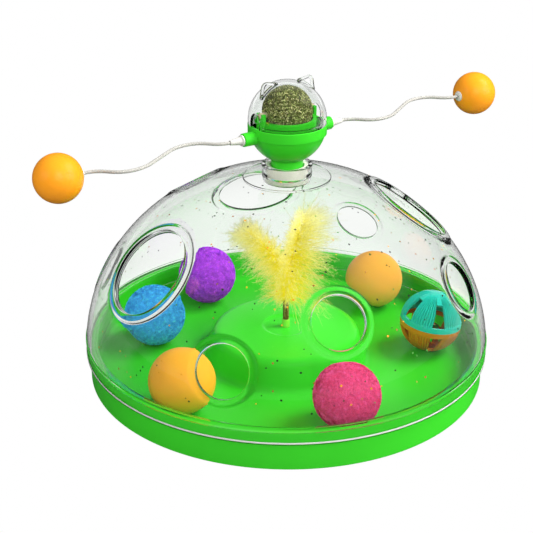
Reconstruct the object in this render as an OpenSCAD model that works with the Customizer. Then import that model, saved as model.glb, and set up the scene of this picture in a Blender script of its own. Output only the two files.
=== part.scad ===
// Windmill cat toy: a tray with rolling balls under a clear dome with paw holes, and a windmill on top
// that carries a catnip ball and two end balls on bent wires.
// Millimetres, +Z up, origin at the middle of the base on the surface that the toy stands on.

/* [Base tray] */
// Outer diameter of the tray
base_d = 250; // [235:1:280]
// Height of the dome's lower edge above the standing surface
base_h = 17.4; // [15:0.2:22]
// Thickness of the upright rim, which stands up into the dome's edge
base_wall = 3; // [2.4:0.1:4]
// Height of the rolling floor
floor_h = 6.2; // [5:0.2:8]
// Thickness of the floor and of the mound
floor_t = 2.2; // [1.6:0.1:3]
// Fillet between the floor and the rim
floor_fillet = 3; // [1:0.5:5]
// Diameter of the mound at the floor
mound_d = 100; // [80:1:108]
// Height of the mound above the floor
mound_h = 20.8; // [12:0.2:24]
// How far the mound's side leans in
mound_lean = 2.4; // [1:0.2:6]
// Rounding of the mound's shoulder
mound_round = 6; // [2:0.5:8]
// Fillet between the mound and the floor
mound_fillet = 4; // [1:0.5:5]
// Diameter of the dish in the mound's top
dish_d = 30; // [20:1:40]
// Depth of the dish
dish_depth = 1.2; // [0.6:0.1:2]
// Number of rubber pads
pad_count = 4; // [3:1:6]
// Diameter of a pad
pad_d = 14; // [10:1:18]
// Thickness of a pad
pad_t = 2; // [1.4:0.1:2.6]
// How far a pad stands below the rim
pad_proud = 0.6; // [0.4:0.1:1]
// Diameter of the circle the pads lie on
pad_circle_d = 190; // [150:2:205]

/* [Dome] */
// How far the dome stands out past the tray
dome_overhang = 2.6; // [1:0.2:4]
// Height of the dome above its lower edge
dome_h = 113.9; // [100:1:125]
// Thickness of the dome wall
dome_wall = 2.2; // [1.6:0.1:3]
// Height of the lip at the bottom
lip_h = 3; // [2:0.2:4]
// Height of the groove above the lip
groove_h = 4.4; // [3:0.2:6]
// Depth of the groove
groove_depth = 0.9; // [0.4:0.1:1.2]
// Height of the bead above the groove
bead_h = 2.6; // [2:0.2:4]
// Depth of the locating ring below the dome's lower edge
spigot_h = 3; // [3:0.2:5]
// Thickness of the locating ring
spigot_t = 2; // [1.4:0.1:3]
// Gap between the locating ring and the rim
spigot_gap = 0.3; // [0.2:0.05:0.6]
// Gap between the rim and the dome's skirt
skirt_gap = 0.3; // [0.2:0.05:0.6]
// Diameter of the large paw holes
large_hole_d = 55; // [46:1:58]
// Diameter of the small paw holes
small_hole_d = 31; // [26:1:34]
// Width of the thick rim round a paw hole
rim_w = 6; // [4:0.5:7]
// How far that rim stands proud of the wall on each side
rim_rise = 1.2; // [0.8:0.1:2]
// Diameter of the raised disc round the bearing cup
boss_d = 54; // [44:1:58]

/* [Bearing] */
// Outer diameter of the bearing cup at its top
cup_d = 31.2; // [28:0.4:36]
// Height of the cup's top above the dome
cup_rise = 5.6; // [4:0.2:7]
// Depth of the bearing cup
cup_h = 12.6; // [11:0.2:15]
// Narrowing of the cup from top to bottom, on the radius
cup_taper = 1.5; // [0.5:0.1:2]
// Wall of the cup at its bottom
cup_wall = 1.5; // [1.2:0.1:2]
// Thickness of the cup's floor
cup_floor = 2; // [1.4:0.1:2.6]
// Gap round the bush in the cup
bush_gap = 0.1; // [0.05:0.05:0.2]
// Diameter of the windmill's spindle
spindle_d = 8; // [7:0.5:9]
// Running clearance of the spindle, on the radius
spindle_clear = 0.05; // [0.02:0.01:0.1]
// Thickness of the thrust washer
thrust_t = 0.5; // [0.4:0.1:1]
// Thickness of the retaining washer
retainer_t = 0.8; // [0.6:0.1:1.2]
// End play of the windmill
end_play = 0.3; // [0.2:0.1:0.5]
// Diameter of the screw's shank
screw_d = 2.5; // [2:0.1:3]
// Diameter of the screw's head
screw_head_d = 6.4; // [5:0.2:8]
// Height of the screw's head
screw_head_h = 1.9; // [1.4:0.1:2.4]

/* [Windmill bowl] */
// Outer diameter of the bowl's band
bowl_d = 47.6; // [44:0.2:54]
// Height of the band
band_h = 6.4; // [5.6:0.1:9]
// Height of the round part below the band
bowl_h = 15.8; // [14.4:0.2:18.4]
// Wall of the bowl
bowl_wall = 2.2; // [1.8:0.1:3]
// Set back of the round part below the band
band_step = 0.6; // [0.4:0.1:1.5]
// Diameter of the neck
neck_d = 19.8; // [17:0.2:20.6]
// Length of the neck
neck_h = 6.4; // [5.4:0.1:9]
// Diameter of an arm socket
socket_d = 8; // [7.2:0.1:8.6]
// Reach of an arm socket from the axis
socket_reach = 31.5; // [29:0.5:34]
// Depth of the socket's axis below the rim
socket_drop = 5.7; // [5:0.1:6.7]
// Thickness of the bowl's bottom
bowl_base_t = 4.2; // [3.4:0.1:5]
// Diameter of the hollow below the cradle
hollow_d = 26; // [22:0.5:28]

/* [Catnip ball] */
// Diameter of the catnip ball
catnip_d = 30.8; // [26:0.2:31.6]
// Height of its middle above the bowl's rim
catnip_rise = 7.1; // [6:0.1:8.5]
// Diameter of its axle
axle_d = 3.2; // [2.6:0.1:4]
// Running clearance of the axle, on the radius
axle_clear = 0.05; // [0.02:0.01:0.1]
// Gap between the ball and a bracket
catnip_gap = 1.8; // [1.4:0.1:1.9]
// Thickness of a bracket and of the cradle's ring
cradle_t = 2; // [1.6:0.1:2.2]
// Width of a bracket
bracket_w = 7; // [6:0.2:8]
// Height of a bracket above the middle of the axle
bracket_lip = 0.9; // [0.6:0.1:1.2]
// Height of the cradle's ring above the bowl's rim
cradle_rise = 3.1; // [2:0.1:4.5]

/* [Cover] */
// Outer diameter of the clear cover
cover_d = 47.2; // [46.4:0.2:54]
// Height of the cover's top above the bowl's rim
cover_h = 25.7; // [25.2:0.1:29.8]
// Thickness of the cover
cover_wall = 1.6; // [1:0.1:1.7]
// Depth of the ring that holds the cover in the bowl
cover_ring_h = 3.5; // [2.5:0.1:5]
// Width of the notch over a socket
notch_w = 9.4; // [9:0.1:11]
// Height of the notch above the bowl's rim
notch_h = 9; // [7.4:0.1:10.4]
// Width of an ear at its foot
ear_w = 14; // [11:0.2:16]
// Height of an ear above the cover
ear_h = 6; // [5:0.2:8]
// Thickness of an ear
ear_t = 2.6; // [2:0.1:4]
// Width of the ear's frame
ear_frame = 1.5; // [1.2:0.1:2]
// Angle of an ear above the horizon
ear_angle = 55; // [45:1:60]

/* [Arms] */
// Angle of the arms round the axis
arm_angle = 34; // [0:1:60]
// Distance from the axis to the middle of an end ball
arm_reach = 148.4; // [144:0.2:160]
// Diameter of an end ball
arm_ball_d = 27.6; // [22:0.2:32]
// Wall of an end ball and of a plain ball
ball_wall = 1.6; // [1.2:0.1:2.4]
// Diameter of the wire
wire_d = 2; // [1.6:0.1:2.4]
// Depth of each bend of the wire
bend_depth = 10.8; // [9:0.1:12]
// Slope of the wire next to its ends
end_slope = 44; // [42:1:46]
// Bend radius next to its ends
end_bend_r = 15; // [13:0.5:16]
// Slope of the wire at its middle
mid_slope = 34; // [30:1:36]
// Bend radius at its middle
mid_bend_r = 24; // [20:1:26]
// Straight length of the wire next to its end ball
end_straight = 1.8; // [1:0.1:4]
// Depth of the wire in its end ball
wire_grip = 8; // [5:0.5:10]
// Length of the boot outside the socket
boot_l = 7.5; // [6.5:0.1:8]
// Diameter of the boot's flange
boot_flange_d = 6.6; // [6:0.1:7]
// Diameter of the grommet on an end ball
grommet_d = 6.8; // [5:0.2:8]
// Free play between the wire and the boot's mouth
flex_gap = 0.5; // [0.4:0.05:0.6]

/* [Loose balls] */
// Diameter of a plush ball and of the bell ball
ball_d = 40; // [36:0.5:41]
// Diameter of a plain ball
plain_ball_d = 39.6; // [34:0.2:41]
// Gap between a plush ball and the tray's wall
track_gap = 7.5; // [5:0.5:12]
// Gap below a resting ball
rest_gap = 0.3; // [0.2:0.05:0.5]
// Wall of the bell ball
shell_t = 2; // [1.6:0.1:2.6]
// Number of windows in each half of the bell ball
window_count = 5; // [4:1:7]
// Width of a window at its foot
window_w = 9; // [6:0.2:10]
// Width of a window at its top
window_top_w = 4.5; // [3:0.1:6]
// Height of the plain band at the bell ball's seam
seam_band = 3.4; // [2.6:0.2:5]
// Height of the closed cap above the windows
cap_h = 3.6; // [3:0.2:6]
// Lean of the bell ball
bell_lean = 8; // [0:1:20]
// Diameter of the jingle bell
jingle_d = 16; // [13:0.5:18]
// Wall of the jingle bell
jingle_t = 0.8; // [0.6:0.1:1.2]
// Diameter of the clapper
clapper_d = 4.6; // [3.6:0.2:6]

/* [Feather] */
// Diameter of the feather's socket
peg_d = 5.2; // [4.6:0.1:7]
// Height of the socket above the dish
peg_h = 5.4; // [4.4:0.1:8]
// Diameter of the feather's tube
tube_d = 3.9; // [3.4:0.1:4.4]
// Length of the tube above the socket
tube_l = 15; // [10:0.5:18]
// Length of the plug in the socket
plug_l = 4.6; // [3:0.2:4.8]
// Length of the left plume
left_plume_l = 60; // [40:1:64]
// Length of the right plume
right_plume_l = 69; // [40:1:72]
// Lean of the left plume
left_lean = 28; // [15:1:35]
// Lean of the right plume
right_lean = 11; // [8:1:20]
// Half width of a plume
plume_r = 13; // [9:0.5:15]

/* [Hidden] */
$fn = 96;
// Overshoot of a cutting tool past the face that it cuts
cut = 1;

// Tray
base_r = base_d / 2;
rim_r = base_r - base_wall;
mound_r = mound_d / 2;
mound_top = floor_h + mound_h;
shoulder_r = mound_r - mound_lean;
shoulder_z = mound_top - dish_depth - mound_round;
dish_z = mound_top - dish_depth;
foot_round = 1.5;
// The shoulder's arc, from the top of the mound to its side
shoulder_from = 82;
shoulder_to = 10;
pad_sink = 1;
pad_seat_z = pad_t - pad_sink;
pad_lip = 2;
pad_gap = 0.1;

// Dome
dome_r = base_r + dome_overhang;
dome_apex = base_h + dome_h;
lip_top = base_h + lip_h;
groove_top = lip_top + groove_h;
bead_top = groove_top + bead_h;
spigot_r = rim_r - spigot_gap;
skirt_r = base_r + skirt_gap;
// The rim ends a little below the groove's top, and the dome rests on it
rim_drop = 0.4;
rim_top = groove_top - rim_drop;
skirt_min = 0.6;
dome_steps = 24;
ledge_rise = 1;
large_hole_r = large_hole_d / 2;
small_hole_r = small_hole_d / 2;
// Paw holes: angle round the axis, angle above the dome's lower edge, radius
PAW_HOLES = [
    [-146.5, 36.5, large_hole_r], [9.5, 48, large_hole_r], [102, 33.5, large_hole_r],
    [-74, 31, small_hole_r], [-19, 26.5, small_hole_r], [-107, 18, small_hole_r],
    [170, 19, small_hole_r], [147, 53, small_hole_r], [64.5, 18, small_hole_r]
];

// Bearing, from the cup's floor up to the neck
cup_r = cup_d / 2;
cup_top = dome_apex + cup_rise;
cup_bottom = cup_top - cup_h;
cup_bore_r = cup_r - cup_taper - cup_wall;
bush_z = cup_bottom + cup_floor;
spindle_r = spindle_d / 2;
spindle_end = cup_bottom - end_play;
retainer_z = spindle_end - retainer_t;
screw_r = screw_d / 2;
screw_grip = 8;
screw_gap = 0.05;
screw_slot_l = 3.6;
screw_slot_w = 0.9;
retainer_lap = 2.4;
neck_r = neck_d / 2;
neck_sink = 2.9;
neck_z = cup_top - neck_sink;
neck_taper = 0.4;
neck_gap = 0.5;
thrust_z = neck_z - thrust_t;
bush_sink = 0.8;
bush_top = cup_top - bush_sink;
bush_r = cup_bore_r - bush_gap;

// Windmill bowl
bowl_r = bowl_d / 2;
bowl_bottom = neck_z + neck_h;
band_z = bowl_bottom + bowl_h;
bowl_rim = band_z + band_h;
round_r = bowl_r - band_step;
foot_step = 1.1;
bowl_foot_r = neck_r + foot_step;
// The round part is a ball through its two edge circles
ball_rise = (round_r * round_r - bowl_foot_r * bowl_foot_r - bowl_h * bowl_h) / (2 * bowl_h);
bowl_ball_z = band_z + ball_rise;
bowl_ball_r = sqrt(round_r * round_r + ball_rise * ball_rise);
bowl_bore_r = bowl_r - bowl_wall;
hollow_z = bowl_bottom + bowl_base_t;
socket_r = socket_d / 2;
arm_z = bowl_rim - socket_drop;

// Catnip
catnip_r = catnip_d / 2;
catnip_z = bowl_rim + catnip_rise;
axle_r = axle_d / 2;
bracket_x = catnip_r + catnip_gap;
bracket_end = bracket_x + cradle_t;
bracket_seat = 0.4;
bracket_z = band_z + bracket_seat;
bracket_proud = 1.8;
cradle_r = bracket_end - bracket_proud;
cradle_bore_r = cradle_r - cradle_t;
// The cradle stands where the bowl's inside is just wider than it
cradle_gap = 0.4;
bowl_in_r = bowl_ball_r - bowl_wall;
bowl_floor_z = bowl_ball_z - sqrt(pow(bowl_in_r, 2) - pow(cradle_r + cradle_gap, 2));
press_gap = 0.02;

// Cover
cover_r = cover_d / 2;
cover_bore_r = cover_r - cover_wall;
cover_z = bowl_rim + cover_h - cover_r;
cover_gap = 0.3;
cover_shoulder = 1.2;
cover_ring_r = bowl_bore_r - cover_gap;
notch_r = notch_w / 2;
ear_blunt = 1.4;
ear_nose = 0.7;

// Arms
wire_r = wire_d / 2;
arm_ball_r = arm_ball_d / 2;
boot_r = 2.9;
boot_gap = 0.05;
boot_root = 7;
boot_tip = socket_reach + boot_l;
boot_flange_t = 1.2;
boot_mouth = 3;
boot_skin = 0.5;
boot_step = 0.2;
pivot_in = 1;
pivot_x = boot_tip - pivot_in;
wire_root = 1.6;
wire_start = pivot_x - wire_root;
end_leg = (bend_depth - 2 * end_bend_r * (1 - cos(end_slope))) / sin(end_slope);
mid_leg = (2 * bend_depth - 2 * mid_bend_r * (1 - cos(mid_slope))) / sin(mid_slope);
end_run = 2 * end_bend_r * sin(end_slope) + end_leg * cos(end_slope);
mid_run = 2 * mid_bend_r * sin(mid_slope) + mid_leg * cos(mid_slope);
first_leg = 0.5;
bend_start = boot_tip + first_leg;
bend_run = 2 * end_run + mid_run;
// The bends are drawn out or closed up to fill the room between the boot and the end ball
stretch = (arm_reach - arm_ball_r - end_straight - bend_start) / bend_run;
grommet_h = 1.6;
grip_gap = 0.05;
wire_sides = 16;
wire_step = 6;
// Course of a wire: length of a straight leg, or a bend as angle and radius
WIRE_COURSE = [
    [bend_start - wire_start, 0, 0],
    [0, -end_slope, end_bend_r], [end_leg, 0, 0], [0, end_slope, end_bend_r],
    [0, mid_slope, mid_bend_r], [mid_leg, 0, 0], [0, -mid_slope, mid_bend_r],
    [0, -end_slope, end_bend_r], [end_leg, 0, 0], [0, end_slope, end_bend_r],
    [end_straight + wire_grip, 0, 0]
];

// Loose balls: angle round the axis, and how far one lies in from the track's middle
ball_r = ball_d / 2;
track_r = rim_r - track_gap - ball_r;
plain_ball_r = plain_ball_d / 2;
ball_z = floor_h + rest_gap + ball_r;
purple_angle = 126;
blue_angle = 171.5;
blue_inset = 7.7;
pink_angle = 292;
front_angle = 230;
back_angle = 49.5;
bell_angle = 5;
window_turn = 2;
jingle_r = jingle_d / 2;
jingle_z = ball_z - (ball_r - shell_t - jingle_r - rest_gap);
jingle_slot_w = 1.8;
jingle_slot_z = 1.2;
clapper_r = clapper_d / 2;
clapper_z = jingle_z - (jingle_r - jingle_t - clapper_r - rest_gap);

// Feather
peg_r = peg_d / 2;
peg_top = dish_z + peg_h;
peg_stem_r = 1.8;
stem_gap = 0.1;
tube_r = tube_d / 2;
plug_r = 1.5;
plug_gap = 0.05;
tube_top = peg_top + tube_l;
quill_r = 0.9;
plume_gap = 0.15;
plume_steps = 14;
// Where along its length a plume is widest, and how full its outline is
leaf_bias = 0.72;
leaf_full = 0.8;

// Points of an arc about a centre, from one angle to another
function arc(cx, cz, r, from, to, steps) =
    [for (i = [0:steps]) let (a = from + (to - from) * i / steps) [cx + r * cos(a), cz + r * sin(a)]];

// Half outline of an ellipse that stands at the dome's lower edge, from a height up to a radius
function dome_arc(rx, rz, low, top_r, steps) =
    let (a0 = asin((low - base_h) / rz), a1 = acos(top_r / rx))
    [for (i = [0:steps]) let (a = a0 + (a1 - a0) * i / steps) [rx * cos(a), base_h + rz * sin(a)]];

function reversed(points) = [for (i = [len(points) - 1:-1:0]) points[i]];

// Puts its children on the dome, with +Z square to the wall
module on_dome(azimuth, elevation) {
    t = 1 / sqrt(pow(cos(elevation) / dome_r, 2) + pow(sin(elevation) / dome_h, 2));
    out = t * cos(elevation);
    up = t * sin(elevation);
    tilt = atan2(out / (dome_r * dome_r), up / (dome_h * dome_h));
    rotate([0, 0, azimuth])
        translate([out, 0, base_h + up])
            rotate([0, tilt, 0])
                children();
}

// Puts its children on the arm line at the arm's height, +X outwards, for the right or the left arm
module on_arm(side) {
    translate([0, 0, arm_z])
        rotate([0, 0, side > 0 ? arm_angle : arm_angle + 180])
            children();
}

// Puts its children at a ball's place on the track
module on_track(angle, z, inset = 0) {
    rotate([0, 0, angle])
        translate([track_r - inset, 0, z])
            children();
}

// A rod along +X
module rod(from, to, r) {
    translate([from, 0, 0])
        rotate([0, 90, 0])
            cylinder(h = to - from, r = r);
}

module hollow_ball(r, wall) {
    difference() {
        sphere(r = r);
        sphere(r = r - wall);
    }
}

// Outside and underside of the tray are one revolved outline
module base_tray() {
    outline = concat(
        [[0, dish_z], [dish_d / 2 - dish_depth, dish_z], [dish_d / 2, mound_top]],
        arc(shoulder_r - mound_round, shoulder_z, mound_round, shoulder_from, shoulder_to, 6),
        arc(mound_r + mound_fillet, floor_h + mound_fillet, mound_fillet, 180, 270, 6),
        arc(rim_r - floor_fillet, floor_h + floor_fillet, floor_fillet, -90, 0, 6),
        [[rim_r, rim_top], [base_r, rim_top]],
        arc(base_r - foot_round, pad_proud + foot_round, foot_round, 0, -90, 5),
        [[rim_r, pad_proud], [rim_r, floor_h - floor_t], [mound_r - floor_t, floor_h - floor_t]],
        arc(shoulder_r - mound_round, shoulder_z, mound_round - floor_t, shoulder_to, shoulder_from, 4),
        [[0, dish_z - floor_t]]
    );
    color([0.24, 0.82, 0.2])
        difference() {
            union() {
                rotate_extrude()
                    polygon(outline);
                for (i = [0:pad_count - 1])
                    rotate([0, 0, (i + 0.5) * 360 / pad_count])
                        translate([pad_circle_d / 2, 0, pad_seat_z])
                            cylinder(h = floor_h - floor_t / 2 - pad_seat_z, r = pad_d / 2 + pad_lip);
            }
            for (i = [0:pad_count - 1])
                rotate([0, 0, (i + 0.5) * 360 / pad_count])
                    translate([pad_circle_d / 2, 0, -cut])
                        cylinder(h = pad_t + cut, r = pad_d / 2 + pad_gap);
            translate([0, 0, dish_z - floor_t - cut])
                cylinder(h = floor_t + 2 * cut, r = peg_stem_r + stem_gap);
        }
}

module rubber_pads() {
    color([0.15, 0.15, 0.15])
        for (i = [0:pad_count - 1])
            rotate([0, 0, (i + 0.5) * 360 / pad_count])
                translate([pad_circle_d / 2, 0, 0])
                    cylinder(h = pad_t, r = pad_d / 2);
}

module feather_socket() {
    color([0.78, 0.86, 0.4])
        difference() {
            union() {
                translate([0, 0, dish_z])
                    cylinder(h = peg_h, r = peg_r);
                translate([0, 0, dish_z - floor_t])
                    cylinder(h = floor_t + cut, r = peg_stem_r);
            }
            translate([0, 0, peg_top - plug_l])
                cylinder(h = plug_l + cut, r = plug_r + plug_gap);
        }
}

module feather_tube() {
    color([0.36, 0.26, 0.1])
        difference() {
            union() {
                translate([0, 0, peg_top])
                    cylinder(h = tube_l, r = tube_r);
                translate([0, 0, peg_top - plug_l])
                    cylinder(h = plug_l + cut, r = plug_r);
            }
            translate([0, 0, peg_top + tube_l / 2])
                cylinder(h = tube_l, r = quill_r);
        }
}

// A leaf-shaped body round the quill, cut at the plane between the two plumes
module plume(length, lean, side) {
    leaf = [
        for (i = [0:plume_steps])
            let (s = i / plume_steps)
            [max(0, plume_r * pow(sin(180 * pow(s, leaf_bias)), leaf_full)), length * s]
    ];
    color([0.98, 0.93, 0.25])
        intersection() {
            translate([0, 0, tube_top + plume_gap])
                rotate([0, side * lean, 0])
                    rotate_extrude()
                        polygon(concat([[0, 0]], [for (i = [1:plume_steps - 1]) leaf[i]], [[0, length]]));
            translate([side > 0 ? plume_gap : -length - plume_gap, -length / 2, tube_top + plume_gap])
                cube([length, length, length + plume_gap]);
        }
}

module plume_left() {
    plume(left_plume_l, left_lean, -1);
}

module plume_right() {
    plume(right_plume_l, right_lean, 1);
}

// The wall and, with a rise, the thicker skin that the rims and the disc on top are cut from
module dome_skin(rise) {
    outer = dome_arc(dome_r + rise, dome_h + rise, bead_top, cup_bore_r, dome_steps);
    inner = dome_arc(dome_r - dome_wall - rise, dome_h - dome_wall - rise, bead_top, cup_bore_r, dome_steps);
    rotate_extrude()
        polygon(concat(outer, reversed(inner)));
}

// Locating ring, skirt with lip and groove, and bead
module dome_lip() {
    groove_r = max(dome_r - groove_depth, skirt_r + skirt_min);
    outline = [
        [spigot_r - spigot_t, base_h - spigot_h], [spigot_r, base_h - spigot_h],
        [spigot_r, rim_top], [skirt_r, rim_top], [skirt_r, base_h],
        [dome_r, base_h], [dome_r, lip_top - groove_depth], [groove_r, lip_top],
        [groove_r, groove_top], [dome_r, groove_top + groove_depth], [dome_r, bead_top],
        dome_arc(dome_r, dome_h, bead_top, cup_bore_r, 1)[0],
        dome_arc(dome_r - dome_wall, dome_h - dome_wall, bead_top, cup_bore_r, 1)[0],
        [spigot_r - spigot_t, rim_top + ledge_rise]
    ];
    rotate_extrude()
        polygon(outline);
}

module dome_shell() {
    color([0.9, 0.95, 0.95, 0.35])
        difference() {
            union() {
                dome_skin(0);
                dome_lip();
                for (hole = PAW_HOLES)
                    intersection() {
                        dome_skin(rim_rise);
                        on_dome(hole[0], hole[1])
                            translate([0, 0, -hole[2]])
                                cylinder(h = 2 * hole[2], r = hole[2] + rim_w);
                    }
                intersection() {
                    dome_skin(rim_rise / 2);
                    cylinder(h = dome_apex * 2, r = boss_d / 2);
                }
                translate([0, 0, cup_bottom])
                    cylinder(h = cup_h, r1 = cup_r - cup_taper, r2 = cup_r);
            }
            for (hole = PAW_HOLES)
                on_dome(hole[0], hole[1])
                    translate([0, 0, -2 * hole[2]])
                        cylinder(h = 4 * hole[2], r = hole[2]);
            translate([0, 0, bush_z])
                cylinder(h = cup_h, r = cup_bore_r);
            translate([0, 0, cup_bottom - cut])
                cylinder(h = cup_floor + 2 * cut, r = spindle_r + neck_gap);
        }
}

module bearing_bush() {
    color([0.9, 0.9, 0.8])
        difference() {
            translate([0, 0, bush_z])
                cylinder(h = bush_top - bush_z, r = bush_r);
            translate([0, 0, bush_z - cut])
                cylinder(h = cup_h, r = spindle_r + spindle_clear);
            translate([0, 0, thrust_z])
                cylinder(h = cup_h, r = neck_r + neck_gap);
        }
}

module thrust_washer() {
    color([0.85, 0.85, 0.85])
        translate([0, 0, thrust_z])
            difference() {
                cylinder(h = thrust_t, r = neck_r - neck_gap);
                translate([0, 0, -cut])
                    cylinder(h = thrust_t + 2 * cut, r = spindle_r + screw_gap);
            }
}

module retaining_washer() {
    color([0.7, 0.7, 0.72])
        translate([0, 0, retainer_z])
            difference() {
                cylinder(h = retainer_t, r = spindle_r + retainer_lap);
                translate([0, 0, -cut])
                    cylinder(h = retainer_t + 2 * cut, r = screw_r + screw_gap);
            }
}

module spindle_screw() {
    color([0.7, 0.7, 0.72])
        difference() {
            union() {
                translate([0, 0, retainer_z - screw_head_h])
                    cylinder(h = screw_head_h, r = screw_head_d / 2);
                translate([0, 0, retainer_z - screw_head_h / 2])
                    cylinder(h = screw_head_h / 2 + retainer_t + screw_grip, r = screw_r);
            }
            for (turn = [0, 90])
                translate([0, 0, retainer_z - screw_head_h])
                    rotate([0, 0, turn])
                        cube([screw_slot_l, screw_slot_w, screw_head_h], center = true);
        }
}

// The bowl turns in the bush on its spindle and carries the arms in two sockets
module rotor_bowl() {
    color([0.24, 0.82, 0.2])
        difference() {
            union() {
                intersection() {
                    translate([0, 0, bowl_ball_z])
                        sphere(r = bowl_ball_r);
                    translate([0, 0, bowl_bottom])
                        cylinder(h = bowl_h, r = bowl_r);
                }
                translate([0, 0, band_z])
                    cylinder(h = band_h, r = bowl_r);
                translate([0, 0, neck_z])
                    cylinder(h = neck_h, r1 = neck_r - neck_taper, r2 = neck_r);
                translate([0, 0, spindle_end])
                    cylinder(h = neck_z - spindle_end + cut, r = spindle_r);
                for (side = [-1, 1])
                    on_arm(side)
                        rod(bowl_bore_r - bowl_wall, socket_reach, socket_r);
            }
            intersection() {
                translate([0, 0, bowl_ball_z])
                    sphere(r = bowl_in_r);
                translate([0, 0, bowl_floor_z])
                    cylinder(h = band_z - bowl_floor_z + cut, r = bowl_bore_r);
            }
            translate([0, 0, band_z])
                cylinder(h = band_h + cut, r = bowl_bore_r);
            translate([0, 0, hollow_z])
                cylinder(h = band_z - hollow_z, r = hollow_d / 2);
            for (side = [-1, 1])
                on_arm(side)
                    rod(socket_reach - boot_root, socket_reach + cut, boot_r + boot_gap);
            translate([0, 0, spindle_end - cut])
                cylinder(h = screw_grip + 2 * cut, r = screw_r + screw_gap);
        }
}

// Ring on the bowl's floor with a bracket at each end of the ball's axle
module catnip_cradle() {
    color([0.2, 0.75, 0.18])
        difference() {
            union() {
                translate([0, 0, bowl_floor_z])
                    cylinder(h = bowl_rim + cradle_rise - bowl_floor_z, r = cradle_r);
                for (side = [-1, 1])
                    on_arm(side) {
                        translate([bracket_x, -bracket_w / 2, bracket_z - arm_z])
                            cube([cradle_t, bracket_w, catnip_z + bracket_lip - bracket_z]);
                        translate([cradle_bore_r, -bracket_w / 2, bracket_z - arm_z])
                            cube([cradle_t, bracket_w, bowl_rim + cradle_rise - bracket_z]);
                    }
            }
            translate([0, 0, bowl_floor_z - cut])
                cylinder(h = bowl_d, r = cradle_bore_r);
            translate([0, 0, catnip_z])
                rotate([0, 0, arm_angle])
                    rod(-bracket_end - cut, bracket_end + cut, axle_r + axle_clear);
        }
}

module catnip_ball() {
    color([0.48, 0.48, 0.22])
        translate([0, 0, catnip_z])
            rotate([0, 90, arm_angle])
                difference() {
                    sphere(r = catnip_r);
                    translate([0, 0, -catnip_d])
                        cylinder(h = 2 * catnip_d, r = axle_r + press_gap);
                }
}

module catnip_axle() {
    color([0.86, 0.8, 0.68])
        translate([0, 0, catnip_z])
            rotate([0, 0, arm_angle])
                rod(-bracket_end, bracket_end, axle_r);
}

// A hollow triangle that stands on the cover, in the plane of the arms
module ear(side) {
    foot = cover_bore_r;
    tip = cover_r + ear_h;
    half = ear_w / 2;
    outer = [[-half, foot * cos(asin(half / foot))], [half, foot * cos(asin(half / foot))],
        [ear_blunt, tip - ear_nose], [0, tip], [-ear_blunt, tip - ear_nose]];
    inner_half = half - 2 * ear_frame;
    inner = [[-inner_half, cover_r + ear_frame / 4], [inner_half, cover_r + ear_frame / 4],
        [ear_blunt / 2, tip - ear_frame - ear_nose], [-ear_blunt / 2, tip - ear_frame - ear_nose]];
    translate([0, 0, cover_z])
        rotate([0, 0, arm_angle])
            rotate([0, side * (90 - ear_angle), 0])
                rotate([90, 0, 0])
                    translate([0, 0, -ear_t / 2])
                        linear_extrude(height = ear_t)
                            difference() {
                                polygon(outer);
                                polygon(inner);
                            }
}

module cat_ear_cover() {
    color([0.92, 0.95, 0.95, 0.35])
        difference() {
            union() {
                difference() {
                    translate([0, 0, cover_z])
                        sphere(r = cover_r);
                    translate([0, 0, bowl_rim - 2 * cover_r])
                        cylinder(h = 2 * cover_r, r = 2 * cover_r);
                }
                translate([0, 0, bowl_rim - cover_ring_h])
                    cylinder(h = cover_ring_h + cut, r = cover_ring_r);
                for (side = [-1, 1])
                    ear(side);
            }
            intersection() {
                translate([0, 0, cover_z])
                    sphere(r = cover_bore_r);
                translate([0, 0, bowl_rim + cover_shoulder])
                    cylinder(h = 2 * cover_r, r = 2 * cover_r);
            }
            translate([0, 0, bowl_rim - cover_ring_h - cut])
                cylinder(h = cover_ring_h + cover_shoulder + 2 * cut, r = cover_ring_r - cover_wall);
            for (side = [-1, 1])
                on_arm(side)
                    translate([0, 0, bowl_rim - arm_z]) {
                        translate([bracket_x, -notch_r, -cover_ring_h - cut])
                            cube([cover_r, notch_w, notch_h - notch_r + cover_ring_h + cut]);
                        translate([0, 0, notch_h - notch_r])
                            rod(bracket_x, bracket_x + cover_r, notch_r);
                    }
        }
}

// Root in the socket, flange against it and a tapered tail with a free mouth for the wire
module arm_boot(side) {
    color([0.95, 0.95, 0.94])
        on_arm(side)
            difference() {
                union() {
                    rod(socket_reach - boot_root, socket_reach, boot_r);
                    rod(socket_reach, socket_reach + boot_flange_t, boot_flange_d / 2);
                    translate([socket_reach + boot_flange_t, 0, 0])
                        rotate([0, 90, 0])
                            cylinder(h = boot_l - boot_flange_t, r1 = boot_r - boot_step,
                                r2 = wire_r + flex_gap + boot_skin);
                }
                rod(boot_tip - boot_mouth, boot_tip + cut, wire_r + flex_gap);
            }
}

module arm_boot_left() {
    arm_boot(-1);
}

module arm_boot_right() {
    arm_boot(1);
}

// Points along the course with the heading at each, from one leg or bend to the next
function course_points(i, x, y, heading) =
    i == len(WIRE_COURSE) ? [[x, y, heading]] :
    let (
        leg = WIRE_COURSE[i][0],
        angle = WIRE_COURSE[i][1],
        bend = sign(angle) * WIRE_COURSE[i][2],
        steps = max(1, ceil(abs(angle) / wire_step)),
        next_x = x + leg * cos(heading) + bend * (sin(heading + angle) - sin(heading)),
        next_y = y + leg * sin(heading) - bend * (cos(heading + angle) - cos(heading))
    )
    concat(
        [
            for (k = [0:steps - 1])
                let (a = heading + angle * k / steps)
                [x + bend * (sin(a) - sin(heading)), y - bend * (cos(a) - cos(heading)), a]
        ],
        course_points(i + 1, next_x, next_y, heading + angle)
    );

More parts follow.
